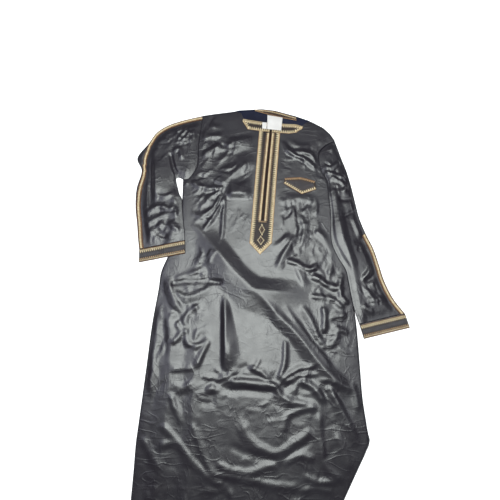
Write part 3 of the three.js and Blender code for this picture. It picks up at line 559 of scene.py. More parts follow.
def front_top(x, y):
    """Height of the front panel's upper face."""
    x, y = np.asarray(x, float), np.asarray(y, float)
    sides = nearest(SIDE_LINES + SHOULDER_LINES, x, y)
    seams = nearest((RIGHT_SEAM, LEFT_SEAM), x, y)
    edges = np.minimum(sides, seams)
    loose = looseness(x, y) * smoothstep(0, CALM_EDGE, edges)
    upper = smoothstep(*FOOT_RANGE, y)
    relief = FOLD_STRENGTH * mix(FOOT_FOLDS, 1, upper) * fold_field(FOLDS, x, y, FOLD_CREST)
    relief = relief + fold_field(PRESS_FOLDS, x, y, PRESS_CREST)
    relief = loose * (relief + mix(FOOT_FOLDS, 1, upper) * fold_field(ALL_CRUMPLES, x, y, CRUMPLE_CREST))
    swell = waves(x, y, SEED + 1, *FRONT_SWELL) * mix(UNDER_BAND_SWELL, 1, loose)
    relief = relief + swell * mix(FOOT_SWELL, 1, upper)
    relief = np.where(relief < 0, -DEEPEST * np.tanh(-relief / DEEPEST), relief)
    puff = PUFF * (1 - np.exp(-edges / PUFF_REACH))
    inner = FRONT_TOP + corner_lift(x, y) + puff + relief * smoothstep(0, RELIEF_EDGE, edges)
    inner = mix(SEAM_LOW, inner, rounded(seams / SEAM_ROLL))
    return mix(EDGE_LOW, inner, rounded(sides / EDGE_ROLL))


# --- mesh building ---------------------------------------------------------------------------------------


def grid_faces(rows, columns, closed=False):
    r, c = np.meshgrid(np.arange(rows - 1), np.arange(columns if closed else columns - 1), indexing="ij")
    a, b = r * columns + c, r * columns + (c + 1) % columns
    return np.stack([a, b, b + columns, a + columns], -1).reshape(-1, 4)


def facing_up(x, y, faces):
    """The faces, turned over together where a grid's first ones look down."""
    row, column = x.shape[0] // 2, x.shape[1] // 4
    over = np.array([x[row, column + 1] - x[row, column], y[row, column + 1] - y[row, column]])
    on = np.array([x[row + 1, column] - x[row, column], y[row + 1, column] - y[row, column]])
    return faces if over[0] * on[1] > over[1] * on[0] else faces[:, ::-1]


def make_piece(name, points, faces, *materials):
    mesh = bpy.data.meshes.new(name)
    mesh.from_pydata(np.asarray(points).reshape(-1, 3).tolist(), [], [list(map(int, f)) for f in faces])
    mesh.validate()
    mesh.polygons.foreach_set("use_smooth", [True] * len(mesh.polygons))
    for material in materials:
        mesh.materials.append(material)
    piece = bpy.data.objects.new(name, mesh)
    bpy.context.scene.collection.objects.link(piece)
    return piece


def thicken(piece, wall, reverse=0):
    """Gives a single skin its cloth wall, downwards from its upper face."""
    solid = piece.modifiers.new("wall", "SOLIDIFY")
    solid.thickness = wall * MM
    solid.offset = -1
    solid.material_offset = reverse
    return piece


def between(lower, upper, columns, rows):
    """Plan of a grid between two lines."""
    shares = np.linspace(0, 1, columns)
    a, b = even_points(lower, shares), even_points(upper, shares)
    points = mix(a[None], b[None], np.linspace(0, 1, rows)[:, None, None])
    return points[..., 0], points[..., 1]


def strip(name, lower, upper, columns, rows, height, material):
    """A flat band between two lines."""
    x, y = between(lower, upper, columns, rows)
    faces = facing_up(x, y, grid_faces(rows, columns))
    return thicken(make_piece(name, place(x, y, height(x, y)), faces, material), BAND)


# --- materials -------------------------------------------------------------------------------------------


class Shader:
    """A small helper for one procedural material."""

    def __init__(self, name, **settings):
        self.material = bpy.data.materials.new(name)
        self.material.use_nodes = True
        self.tree = self.material.node_tree
        self.surface = self.tree.nodes["Principled BSDF"]
        self.set(self.surface, settings)
        self.place = self.add("TexCoord").outputs["Object"]

    def set(self, node, settings):
        for socket, value in settings.items():
            node.inputs[socket.replace("_", " ")].default_value = value

    def link(self, out, into):
        self.tree.links.new(out, into)

    def add(self, kind, *feeds, mode=(), **settings):
        """A node whose first sockets are fed in order; mode is the name and value of its choice."""
        node = self.tree.nodes.new("ShaderNode" + kind)
        if mode:
            setattr(node, *mode)
        self.set(node, settings)
        for feed, socket in zip(feeds, node.inputs):
            self.link(feed, socket)
        return node

    def times(self, first, second):
        return self.add("Math", first, second, mode=("operation", "MULTIPLY")).outputs[0]

    def mapped(self, stretch=(1, 1, 1), turn=0.0):
        return self.add("Mapping", self.place, Scale=stretch, Rotation=(0, 0, turn)).outputs[0]

    def noise(self, scale, detail=3.0, rough=0.55, distortion=0.0, stretch=None):
        source = self.mapped(stretch) if stretch else self.place
        shape = {"Scale": scale, "Detail": detail, "Roughness": rough, "Distortion": distortion}
        return self.add("TexNoise", source, **shape).outputs["Fac"]

    def wave(self, scale, direction="X", turn=0.0, distortion=0.0):
        source, bands = self.mapped(turn=turn), ("bands_direction", direction)
        return self.add("TexWave", source, mode=bands, Scale=scale, Distortion=distortion).outputs["Fac"]

    def ramp(self, fac, dark, light, start=0.3, end=0.7):
        made = self.add("ValToRGB", fac)
        for element, at, colour in zip(made.color_ramp.elements, (start, end), (dark, light)):
            element.position = at
            element.color = (*colour, 1)
        return made.outputs["Color"]

    def spread(self, fac, low, high, start=0.0, end=1.0):
        made = self.add("MapRange", fac, From_Min=start, From_Max=end, To_Min=low, To_Max=high)
        return made.outputs["Result"]

    def facets(self, scale):
        """Shallow cones that meet in creases, like crumpled paper."""
        bend = self.add("TexNoise", self.place, Scale=scale * 0.6).outputs["Color"]
        shrunk = self.add("VectorMath", bend, mode=("operation", "SCALE"), Scale=0.6 / scale).outputs[0]
        warped = self.add("VectorMath", self.place, shrunk, mode=("operation", "ADD")).outputs[0]
        return self.add("TexVoronoi", warped, Scale=scale).outputs["Distance"]

    def wrinkles(self, scale, width, stretch):
        """Thin raised lines that wander."""
        away = self.add("Math", self.noise(scale, 1, 0.4, 0.3, stretch), mode=("operation", "SUBTRACT"))
        away.inputs[1].default_value = 0.5
        size = self.add("Math", away.outputs[0], mode=("operation", "ABSOLUTE"))
        return self.spread(size.outputs[0], 1.0, 0.0, 0.0, width)

    def below(self, line, low, colour):
        """One colour below a line across the frame, another above it."""
        y = self.add("SeparateXYZ", self.place).outputs["Y"]
        blend = self.add("Mix", mode=("data_type", "RGBA"), A=(*low, 1))
        self.link(self.spread(y, 0, 1, line - 5 * MM, line + 5 * MM), blend.inputs["Factor"])
        self.link(colour, blend.inputs["B"])
        return blend.outputs["Result"]

    def finish(self, colour, roughness=None, *bumps):
        """Feeds the surface. Each bump is its height output, its strength and its depth in millimetres."""
        self.link(colour, self.surface.inputs["Base Color"])
        if roughness:
            self.link(roughness, self.surface.inputs["Roughness"])
        into = self.surface.inputs["Normal"]
        for height, strength, depth in reversed(bumps):
            made = self.add("Bump", Strength=strength, Distance=depth * MM)
            self.link(height, made.inputs["Height"])
            self.link(made.outputs["Normal"], into)
            into = made.inputs["Normal"]
        return self.material


def black_cloth(name, dark, light, low=None, coat=0.3, gloss=0.28):
    """Polished black cotton: a fine plain weave with a calendered shine and small sharp wrinkles."""
    s = Shader(name, IOR=1.5, Sheen_Weight=0.06, Sheen_Roughness=0.4, Coat_Weight=coat, Coat_Roughness=0.16)
    s.set(s.surface, {"Specular IOR Level": 0.5 if coat else 0.2, "Sheen Tint": (0.75, 0.78, 1.0, 1)})
    colour = s.ramp(s.noise(9, 3), dark, light, 0.35)
    some = s.spread(s.noise(7, 2), 0.15, 1.0, 0.42, 0.6)
    more = s.spread(s.noise(11, 2, 0.5, 0.5), 0.0, 1.0, 0.45, 0.62)
    # where low is given, the colour below NECK_LINE is low instead: painted shade, not the cloth's own colour
    return s.finish(
        s.below(NECK_LINE, low, colour) if low else colour,
        s.spread(s.noise(26, 4, 0.6), gloss, gloss + 0.12, 0.3, 0.7),
        (s.times(s.facets(26), some), 0.6, 1.4),
        (s.times(s.wrinkles(14, 0.05, (1, 0.5, 1)), more), 0.5, 0.4),
        (s.times(s.wrinkles(29, 0.06, (0.5, 1.2, 1)), some), 0.7, 0.5),
        (s.times(s.wrinkles(47, 0.08, (1, 0.6, 1)), more), 0.9, 0.4),
        (s.noise(150, 4, 0.5, 0.4), 0.4, 0.3),
        (s.wave(520, "X"), 0.10, 0.06),
        (s.wave(520, "Y"), 0.10, 0.06),
    )


def thread(name, dark, light, gloss=0.42):
    """Twisted rayon embroidery thread."""
    s = Shader(name, IOR=1.5, Sheen_Weight=0.25, Sheen_Roughness=0.35)
    return s.finish(
        s.ramp(s.noise(150, 3), dark, light),
        s.spread(s.noise(400, 2), gloss - 0.08, gloss + 0.1),
        (s.wave(1500, "DIAGONAL", 0.6), 0.35, 0.12),
        (s.noise(900, 2), 0.3, 0.08),
    )


def dark_ground(name, dark, light):
    """Dark satin-stitched ground of the bands."""
    s = Shader(name, IOR=1.5, Sheen_Weight=0.1, Sheen_Roughness=0.3, Specular_IOR_Level=0.35)
    return s.finish(
        s.ramp(s.noise(60, 3), dark, light),
        s.spread(s.noise(200, 3), 0.45, 0.65),
        (s.wave(700, "X", 0, 0.5), 0.5, 0.15),
        (s.noise(300, 3), 0.3, 0.15),
    )


def label_cloth():
    """White woven satin."""
    s = Shader("label_satin", IOR=1.46, Sheen_Weight=0.3, Sheen_Roughness=0.3)
    return s.finish(
        s.ramp(s.noise(40, 3), (0.62, 0.60, 0.585), (0.70, 0.685, 0.67)),
        s.spread(s.noise(120, 3), 0.36, 0.5),
        (s.wave(900, "Y"), 0.25, 0.05),
        (s.noise(60, 3), 0.3, 0.3),
    )

NECK_LINE = ORIGIN_Y + 1300 * MM  # the reverse shows its navy above it; below it, where it is seen down the slit, it is painted dark brown as painted shade
SLIT_SHADE = (0.014, 0.008, 0.005)
CLOTH = black_cloth("cloth_black", (0.010, 0.008, 0.012), (0.017, 0.016, 0.020))
# SLIT_SHADE is painted shade: the reverse turns dark brown below NECK_LINE, where the slit keeps it in shade
REVERSE = black_cloth("cloth_reverse", (0.005, 0.006, 0.018), (0.010, 0.013, 0.032), SLIT_SHADE, 0, 0.6)
GROUND = dark_ground("band_ground", (0.012, 0.008, 0.007), (0.030, 0.020, 0.018))
GROUND_BROWN = dark_ground("band_ground_brown", (0.020, 0.010, 0.006), (0.050, 0.027, 0.017))
CREAM = thread("thread_cream", (0.62, 0.47, 0.25), (0.90, 0.76, 0.50))
TAN = thread("thread_tan", (0.34, 0.20, 0.09), (0.56, 0.37, 0.19))
BROWN = thread("thread_brown", (0.10, 0.040, 0.014), (0.26, 0.105, 0.035), 0.5)
BLACK_THREAD = thread("thread_black", (0.014, 0.013, 0.018), (0.050, 0.047, 0.060), 0.4)
LABEL = label_cloth()

# --- body panels -----------------------------------------------------------------------------------------

CLOSE_STEPS = np.array([0, 0.8, 2.0, 4.0, 7.0])  # the grid's lines beside a rolled edge
PANEL_WIDTH, YOKE_HEIGHT = 600, 240  # rough sizes that turn them into shares
FRONT_COLUMNS, SKIRT_ROWS, YOKE_ROWS = 142, 238, 55
SLIT_COLUMN = 83
SLIT_PULL = (840, 950)  # heights over which two columns come to follow the slit
BACK_COLUMNS, BACK_SKIRT_ROWS, BACK_YOKE_ROWS = 84, 132, 39
BACK_INSET, BACK_SINK = 2.5, 0.18  # how far the back keeps inside the front's edges, and how much lower


def front_panel():
    close = CLOSE_STEPS / PANEL_WIDTH
    across = np.r_[close[:-1], np.linspace(close[-1], 1 - close[-1], FRONT_COLUMNS), 1 - close[-2::-1]]
    top_rows = 2 - CLOSE_STEPS[3::-1] / YOKE_HEIGHT
    rows = np.r_[np.linspace(0, 1, SKIRT_ROWS), np.linspace(1, 2, YOKE_ROWS)[1:-1], top_rows]
    u, up = np.meshgrid(across, rows)
    x, y = panel_points(u, up, FRONT_TOP_EDGE)
    for row, slit_y in enumerate(y[:, SLIT_COLUMN]):
        mid, half = slit_at(slit_y)
        edges = np.interp([mid - half, mid + half], x[row], across)
        pulled = np.interp(across, [0, *across[SLIT_COLUMN : SLIT_COLUMN + 2], 1], [0, *edges, 1])
        u[row] = mix(across, pulled, smoothstep(*SLIT_PULL, slit_y))
    x, y = panel_points(u, up, FRONT_TOP_EDGE)
    faces = grid_faces(*x.shape)
    row, column = np.divmod(faces[:, 0], x.shape[1])
    cut = (column == SLIT_COLUMN) & (y[row, SLIT_COLUMN] > SLIT[0, 1])
    piece = make_piece("front_panel_cloth", place(x, y, front_top(x, y)), faces[~cut], CLOTH, REVERSE)
    return thicken(piece, WALL, 1)


def back_panel():
    inset = BACK_INSET / PANEL_WIDTH
    rows = np.r_[np.linspace(0, 1, BACK_SKIRT_ROWS), np.linspace(1, 2, BACK_YOKE_ROWS)[1:]]
    x, y = panel_points(*np.meshgrid(np.linspace(inset, 1 - inset, BACK_COLUMNS), rows), BACK_TOP_EDGE)
    y = y - BACK_INSET * (1 - smoothstep(0, 6, nearest(SHOULDER_LINES, x, y)))
    z = BACK_TOP - BACK_SINK + corner_lift(x, y) + waves(x, y, SEED + 2, *BACK_SWELL)
    piece = make_piece("back_panel_cloth", place(x, y, z), grid_faces(*x.shape), REVERSE, CLOTH)
    return thicken(piece, WALL, 1)


def turned_corner():
    """Two layers of the hem's corner, folded under; its rim is rounded."""
    tips = np.array(CORNER, float)
    middle = tips.mean(0)
    steps = np.linspace(0, 1, 24, endpoint=False)[:, None]
    rim = np.vstack([mix(a, b, steps) for a, b in zip(tips, np.roll(tips, -1, 0))])
    shares = np.array([1, 0.995, 0.985, 0.96, 0.8, 0.55, 0.3, 0.1])
    rings = middle + (rim - middle) * (shares[:, None, None] * TUCK_REACH)
    upper = TUCK / 2 + (TUCK / 2 - TUCK_CLEAR) * rounded((1 - shares) / TUCK_ROLL)
    lower = TUCK - upper
    x, y = np.concatenate([rings[::-1], rings[1:]]).transpose(2, 0, 1)
    z = np.repeat(np.r_[upper[::-1], lower[1:]][:, None], len(rim), 1)
    caps = [place(*middle, upper[-1]), place(*middle, lower[-1])]
    count, last = len(rim), z.size
    faces = grid_faces(*z.shape, closed=True).tolist()
    faces += [[last, (i + 1) % count, i] for i in range(count)]
    faces += [[last + 1, last - count + i, last - count + (i + 1) % count] for i in range(count)]
    return make_piece("turned_corner_cloth", np.vstack([place(x, y, z).reshape(-1, 3), caps]), faces, CLOTH)


# --- sleeves and cuffs -----------------------------------------------------------------------------------

SEAM_STEP = -1.2  # the sleeve starts just under the panel
BOW_END = 4 / 19  # share of the sleeve over which its rings lose the armhole's bow
CLIMB_START, CLIMB_END, CLIMB_TOP, CLIMB_FULL = -40, -15, 1095, 1050
CLIMB_INSET = 9
TUBE_EDGE = 0.9
TUBE_ROLL = 6.0
SLEEVE_PUFF, SLEEVE_THIN, SLEEVE_FULL = 4.2, 1.35, 2.7  # air, and thickness at the armhole and past it
EDGE_CALM, BRAID_CALM, INNER_CALM = (6, 26), (2, 26), (4, 24)  # distances over which folds build up
START_CALM, END_CALM = (0, 0.05), (0.93, 1)  # and shares of the sleeve's length
SLEEVE_RINGS, SLEEVE_COLUMNS, CUFF_RINGS, CUFF_COLUMNS = 136, 54, 13, 48
SLEEVE_ALL_CRUMPLES = crumple_folds(SLEEVE_CRUMPLES, SEED + 3)

Arm = namedtuple("Arm", "edges seam braid_from cuff_end")
ARMS = {
    "right": Arm(SLEEVE_RIGHT, RIGHT_SEAM[::-1], 0, CUFF_END_RIGHT),
    "left": Arm(SLEEVE_LEFT, LEFT_SEAM[::-1], BRAID_LEFT_START, CUFF_END_LEFT),
}


def body_lift(x, y):
    """Height that a sleeve gains where it lies over the side of the body."""
    row = np.minimum(y, ARMPIT_Y)
    right, left = side_edge(row, 1), side_edge(row, 2)
    inside = np.minimum(x - right, left - x)
    over = smoothstep(CLIMB_START, CLIMB_END, inside) * (1 - smoothstep(CLIMB_FULL, CLIMB_TOP, y))
    near = front_top(np.clip(x, right + CLIMB_INSET, left - CLIMB_INSET), row)
    return (near + LAYER_GAP) * over


def tube_top(x, y, u, width, thickness):
    """Height of a flattened tube, whose thickness rolls off towards both its edges."""
    roll = rounded(np.minimum(u, 1 - u) * width / TUBE_ROLL)
    return body_lift(x, y) + TUBE_EDGE + (thickness - TUBE_EDGE) * roll


def tube(name, plan, thickness, rings, columns, material):
    """A flattened cloth tube: its upper layer, and its lower layer with fewer columns."""
    close = np.array([0, 0.006, 0.018, 0.036])
    across = np.r_[close, np.linspace(0.06, 0.94, columns), 1 - close[::-1]]
    u, s = np.meshgrid(across, np.linspace(0, 1, rings))
    u_low, s_low = np.meshgrid(np.linspace(1, 0, columns // 2)[1:-1], np.linspace(0, 1, rings))
    x, y, width = plan(u, s)
    x_low, y_low, width_low = plan(u_low, s_low)
    z = tube_top(x, y, u, width, thickness(x, y, u, s, width))
    z_low = tube_top(x_low, y_low, u_low, width_low, 0) + 0.05
    x, y, z = np.hstack([x, x_low]), np.hstack([y, y_low]), np.hstack([z, z_low])
    faces = facing_up(x, y, grid_faces(*x.shape, closed=True))
    return thicken(make_piece(name, place(x, y, z), faces, material, REVERSE), WALL, 1)


def sleeve_plan(side, u, s):
    """Plan and width of a sleeve: u from its outer to its inner edge, s from the armhole to the cuff."""
    table, seam = ARMS[side].edges, ARMS[side].seam
    outer, inner = row_curve(table[:, :2], s), row_curve(table[:, 2:4], s)
    away = left_of(unit(seam[-1:] - seam[:1]))[0]
    away = away * np.sign((table[-1, 0] - seam[0, 0]) * away[0])
    bow = even_points(seam, u) - mix(seam[0], seam[-1], u[..., None])
    share = np.maximum(0, 1 - s / BOW_END) ** 4
    points = mix(outer, inner, u[..., None]) + bow * share[..., None] + away * SEAM_STEP
    return points[..., 0], points[..., 1], np.linalg.norm(outer - inner, axis=-1)


def braid_distance(side, s):
    """Distance of the braid from the sleeve's outer edge."""
    table = ARMS[side].edges
    return np.interp(s, np.linspace(0, 1, len(table)), table[:, 4])


def sleeve_thickness(side, x, y, u, s, width):
    """How high a sleeve's upper layer stands: thin at its ends and under the braid, fuller in its folds."""
    past = u * width - braid_distance(side, s)
    beside_braid = smoothstep(*BRAID_CALM, past - BRAID_WIDTH) + (past < 0) * smoothstep(0, 8, -past) / 2
    loose = np.where(s < ARMS[side].braid_from, smoothstep(*EDGE_CALM, u * width), beside_braid)
    loose = loose * smoothstep(*INNER_CALM, (1 - u) * width)
    loose = loose * smoothstep(*START_CALM, s) * (1 - smoothstep(*END_CALM, s))
    relief = fold_field(SLEEVE_FOLDS, x, y, FOLD_CREST) + fold_field(SLEEVE_ALL_CRUMPLES, x, y, CRUMPLE_CREST)
    relief = relief + waves(x, y, SEED + 4, *SLEEVE_SWELL)
    puff = SLEEVE_PUFF * loose * smoothstep(0, 60, np.minimum(u, 1 - u) * width + 12)
    start = mix(SLEEVE_THIN, SLEEVE_FULL, smoothstep(0, 0.02, s))
    return start + puff + np.maximum(relief, -puff * 0.85) * loose


def sleeve(side):
    plan, thickness = partial(sleeve_plan, side), partial(sleeve_thickness, side)
    return tube(f"sleeve_{side}_cloth", plan, thickness, SLEEVE_RINGS, SLEEVE_COLUMNS, CLOTH)


def cuff_plan(side, u, t):
    """Plan and width of a cuff: u from its outer to its inner edge, t from the sleeve to the wrist."""
    x, y, _ = sleeve_plan(side, u, np.ones_like(u))
    x0, y0, x1, y1 = ARMS[side].cuff_end
    share = mix(0.01, 1, t)
    width = np.full(u.shape, math.dist((x0, y0), (x1, y1)))
    return mix(x, mix(x0, x1, u), share), mix(y, mix(y0, y1, u), share), width


def cuff_thickness(x, y, u, t, width):
    """How high a cuff's upper layer stands, with a slight wave round it."""
    return SLEEVE_FULL + 0.25 * np.sin(u * 9 + t) + 0.2 * np.sin(u * 23)


def cuff(side):
    plan = partial(cuff_plan, side)
    return tube(f"cuff_{side}_cloth", plan, cuff_thickness, CUFF_RINGS, CUFF_COLUMNS, GROUND)


# --- embroidery ------------------------------------------------------------------------------------------

STITCH_RINGS = [(-0.38, 0.34), (0.0, 0.5), (0.38, 0.34)]  # place along a stitch, and radius
CORD_SLANT, PLAIT_SLANT = 0.35, 0.75  # sideways for each step ahead
TOOTH = [(-1.1, 0.6), (0.0, 1.0), (1.1, 0.6)]  # its stitches: place along the line, and share of its depth
STITCH_SLOPE_REACH = 0.4  # share of a stitch's length on either side over which its slope is taken


def stitch_template(around=6):
    """A stitch of thread lying along X, one unit long, wide and high: a closed pod."""
    turns = [2 * math.pi * k / around for k in range(around)]
    rings = [(x, r * math.cos(turn), r * math.sin(turn)) for x, r in STITCH_RINGS for turn in turns]
    points = [(-0.5, 0, 0), *rings, (0.5, 0, 0)]
    last = len(points) - 1
    faces = [(0, 1 + (k + 1) % around, 1 + k) for k in range(around)]
    faces += (grid_faces(len(STITCH_RINGS), around, closed=True) + 1).tolist()
    faces += [(last, last - around + k, last - around + (k + 1) % around) for k in range(around)]
    return np.array(points), faces


STITCH, STITCH_FACES = stitch_template()


class Threads:
    """Stitches of one embroidered piece, on a surface whose height is given as a function of the plan."""

    def __init__(self, name, height):
        self.name, self.height = name, height
        self.points, self.groups = [], []

    def stitches(self, centres, ways, length, width, material, high=0.8, lift=0.15):
        """Lays stitches at plan centres, along plan directions and with the slope of the surface."""
        ways = unit(ways)
        length = np.broadcast_to(length, len(centres))[:, None]
        reach = STITCH_SLOPE_REACH * length * ways
        climb = self.height(*(centres + reach).T) - self.height(*(centres - reach).T)
        climb = climb[:, None] / (2 * STITCH_SLOPE_REACH)  # over the whole stitch
        along, aside, up = STITCH.T
        out, over = (along * length)[..., None], (aside * width)[:, None]
        flat = centres[:, None] + ways[:, None] * out + left_of(ways)[:, None] * over
        z = self.height(*centres.T)[:, None] + lift + climb * along + up * high
        self.points.append(place(flat[..., 0], flat[..., 1], z).reshape(-1, 3))
        self.groups.append((len(centres), material))

    def path(self, line, pitch, shift=0.0):
        """Even places on a line, moved to its left, with the directions ahead and to the left of each."""
        count = max(2, int(length_of(line) / pitch))
        shares = (np.arange(count) + 0.5) / count
        ahead = unit(even_points(line, shares + 0.3 / count) - even_points(line, shares - 0.3 / count))
        side = left_of(ahead)
        return even_points(line, shares) + shift * side, ahead, side

    def cord(self, line, shift, width, material, pitch=2.2):
        """A twisted cord: slanted stitches end to end."""
        at, ahead, side = self.path(line, pitch, shift)
        self.stitches(at, ahead + CORD_SLANT * side, pitch * 1.35, width, material, high=width * 0.8)

    def plait(self, line, shift, width, material, pitch=2.6):
        """A chain of paired stitches that meet in a V."""
        at, ahead, side = self.path(line, pitch, shift)
        for hand in (-1, 1):
            centres = at + hand * side * width * 0.25
            ways = ahead - hand * PLAIT_SLANT * side
            self.stitches(centres, ways, width * 0.72, width * 0.42, material, high=0.9)

    def teeth(self, line, shift, depth, material, pitch=7.0, hand=1):
        """Pointed teeth of three stitches each, out from a line to its left, or right where hand is -1."""
        at, ahead, side = self.path(line, pitch)
        side = side * hand
        for offset, reach in TOOTH:
            long_ = depth * reach
            centres = at + ahead * offset + side * (shift + long_ / 2)
            self.stitches(centres, side, long_ * 1.1, 1.5, material)

    def bars(self, first, second, pitch, width, material, high=0.6, lift=0.0):
        """Satin stitches from one line across to another."""
        count = int(max(length_of(first), length_of(second)) / pitch)
        shares = (np.arange(count) + 0.5) / count
        a, b = even_points(first, shares), even_points(second, shares)
        length = np.linalg.norm(b - a, axis=1)
        self.stitches((a + b) / 2, b - a, length, width, material, high=high, lift=lift)

    def build(self):
        total = sum(count for count, _ in self.groups)
        faces = [[v + len(STITCH) * k for v in face] for k in range(total) for face in STITCH_FACES]
        used = list(dict.fromkeys(material for _, material in self.groups))
        piece = make_piece(self.name, np.vstack(self.points), faces, *used)
        slots = [np.full(count * len(STITCH_FACES), used.index(m), np.int32) for count, m in self.groups]
        piece.data.polygons.foreach_set("material_index", np.concatenate(slots))
        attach(piece, "root")
        return piece


def nearest_height(points):
    """Height of the nearest of some points, as a function of the plan."""
    flat = points.reshape(-1, 3)

    def height(x, y):
        gap = (x[:, None] - flat[:, 0]) ** 2 + (y[:, None] - flat[:, 1]) ** 2
        return flat[gap.argmin(1), 2]

    return height


def band_top(x, y):
    """Upper face of a band on the front."""
    return front_top(x, y) + LAYER_GAP / 2 + BAND


def band_edge(table, column, from_x, to_x):
    """A band's upper or lower edge, between two places across."""
    xs = np.r_[from_x, [x for x in table[:, 0] if from_x < x < to_x], to_x]
    return np.stack([xs, np.interp(xs, table[:, 0], table[:, column])], -1)


def slit_edge(side):
    """One edge of the slit, from its lower end up."""
    return np.stack([SLIT[:, 0] + side * (SLIT[:, 2] + SLIT_MARGIN), SLIT[:, 1]], -1)


def neckband(side):
    """Front neckband, right or left of the slit."""
    slit = slit_edge(-1 if side == "right" else 1)
    edges = []
    for column, slit_y in enumerate(NECKBAND_CUTS, 1):
        cut = np.interp(slit_y, slit[:, 1], slit[:, 0])
        ends = (NECKBAND[0, 0], cut) if side == "right" else (cut, NECKBAND[-1, 0])
        edges.append(band_edge(NECKBAND, column, *ends))
    upper, lower = edges
    band = strip(f"neckband_{side}_band", lower, upper, 60, 12, band_top, GROUND)
    t = Threads(f"neckband_{side}_threads", band_top)
    t.cord(upper, -1.0, 1.7, CREAM)
    t.cord(upper, -3.0, 1.2, BROWN, 1.6)
    t.plait(upper, -5.8, 4.4, CREAM)
    t.teeth(upper, 7.6, 6.4, CREAM, hand=-1)
    t.cord(lower, 1.0, 1.5, TAN)
    t.plait(lower, 3.4, 3.6, CREAM)
    t.teeth(lower, 5.0, 7.4, CREAM)
    return band, t.build()


def back_band_top(x, y):
    """Upper face of the band on the back."""
    return np.full(x.shape, BACK_TOP + LAYER_GAP + BAND)


def neckband_back():
    upper, lower = (band_edge(NECKBAND_BACK, column, *NECKBAND_BACK[[0, -1], 0]) for column in (1, 2))
    band = strip("neckband_back_band", lower, upper, 50, 6, back_band_top, GROUND_BROWN)
    t = Threads("neckband_back_threads", back_band_top)
    t.cord(upper, -0.8, 1.6, TAN)
    t.plait(upper, -3.4, 3.4, CREAM, 2.4)
    t.cord(lower, 1.0, 1.6, TAN)
    t.cord(lower, 3.2, 1.6, BROWN)
    return band, t.build()


def placket():
    """The band round the slit, down to its pointed tab."""
    neck_y = np.interp(PLACKET_ENDS, NECKBAND[:, 0], NECKBAND[:, 2]) - SLIT_MARGIN
    outline = np.array([(PLACKET_ENDS[0], neck_y[0]), *PLACKET_EDGE, (PLACKET_ENDS[1], neck_y[1])], float)
    tip = outline[:, 1].argmin()
    rows = np.r_[np.linspace(PLACKET_TOP, TAB_TOP, 110), np.linspace(TAB_TOP, outline[tip, 1] + 0.5, 14)[1:]]
    first_x = np.interp(rows, outline[tip::-1, 1], outline[tip::-1, 0])
    last_x = np.interp(rows, outline[tip:, 1], outline[tip:, 0])
    mid, half = slit_at(rows)
    half = half + SLIT_MARGIN
    opened = smoothstep(SLIT[0, 1] - 6, SLIT[0, 1], rows)
    first_cut, last_cut = (mix((first_x + last_x) / 2, cut, opened) for cut in (mid - half, mid + half))
    shares = np.linspace(0, 1, 9)
    halves = [mix(a[:, None], b[:, None], shares) for a, b in ((first_x, first_cut), (last_cut, last_x))]
    x = np.hstack(halves)
    y = np.repeat(rows[:, None], x.shape[1], 1)
    rise = PLACKET_LIFT - PLACKET_SLANT * (x - PLACKET_ENDS[0])
    y = y + rise * smoothstep(PLACKET_TOP - 17, PLACKET_TOP, y)
    faces = grid_faces(*x.shape)[:, ::-1]
    row, column = np.divmod(faces.min(1), x.shape[1])
    cut = (column == len(shares) - 1) & (rows[row] > SLIT[0, 1] + 1)
    band = thicken(make_piece("placket_band", place(x, y, band_top(x, y)), faces[~cut], GROUND), BAND)
    t = Threads("placket_threads", band_top)
    # outer border, down to the point and back up; its inner side is on the left of the way it runs
    t.cord(outline, 1.1, 2.2, TAN)
    t.plait(outline, 4.4, 4.8, CREAM, 2.8)
    t.teeth(outline, 6.0, 8.6, CREAM)
    for side in (-1, 1):
        edge = slit_edge(side)
        line = np.vstack([edge[:-1], [np.interp(PLACKET_TOP - 3, edge[:, 1], edge[:, 0]), PLACKET_TOP - 3]])
        t.cord(line, -side * 0.9, 1.8, BROWN)
        t.plait(line, -side * 4.2, 5.2, CREAM, 2.8)
        t.teeth(line, 5.8, 6.6, TAN, hand=-side)
    t.plait(SLIT_BAR, 0, 4.0, TAN, 2.4)
    for x, y, half_x, half_y in DIAMONDS:
        head, foot = (x, y + half_y), (x, y - half_y)
        t.plait([head, (x + half_x, y), foot, (x - half_x, y), head], -1.6, 3.0, CREAM, 2.3)
        t.cord([(x, y + half_y * 0.35), (x, y - half_y * 0.35)], 0, 1.8, BROWN, 2.0)
    t.plait(TAB_CHEVRON, 0, 3.0, TAN, 2.4)
    return band, t.build()


def pocket():
    """The chest pocket's embroidered top."""
    band = strip("pocket_welt_band", POCKET_FOOT, POCKET_TOP, 60, 14, band_top, GROUND_BROWN)
    t = Threads("pocket_threads", band_top)
    t.cord(POCKET_TOP, -1.0, 1.5, BROWN)
    t.plait(POCKET_TOP, -3.6, 3.6, TAN, 2.4)
    t.teeth(POCKET_TOP, 5.2, 3.6, TAN, hand=-1)
    t.cord(POCKET_FOOT, 1.0, 1.6, BROWN)
    t.plait(POCKET_FOOT, 3.6, 3.6, CREAM, 2.4)
    t.teeth(POCKET_FOOT, 5.0, 6.6, CREAM)
    foot, head = (even_points(line, np.linspace(0.06, 0.94, 30)) for line in (POCKET_FOOT, POCKET_TOP))
    t.bars(foot + (0, 9), head - (0, 8), 2.0, 1.4, BLACK_THREAD)
    return band, t.build()


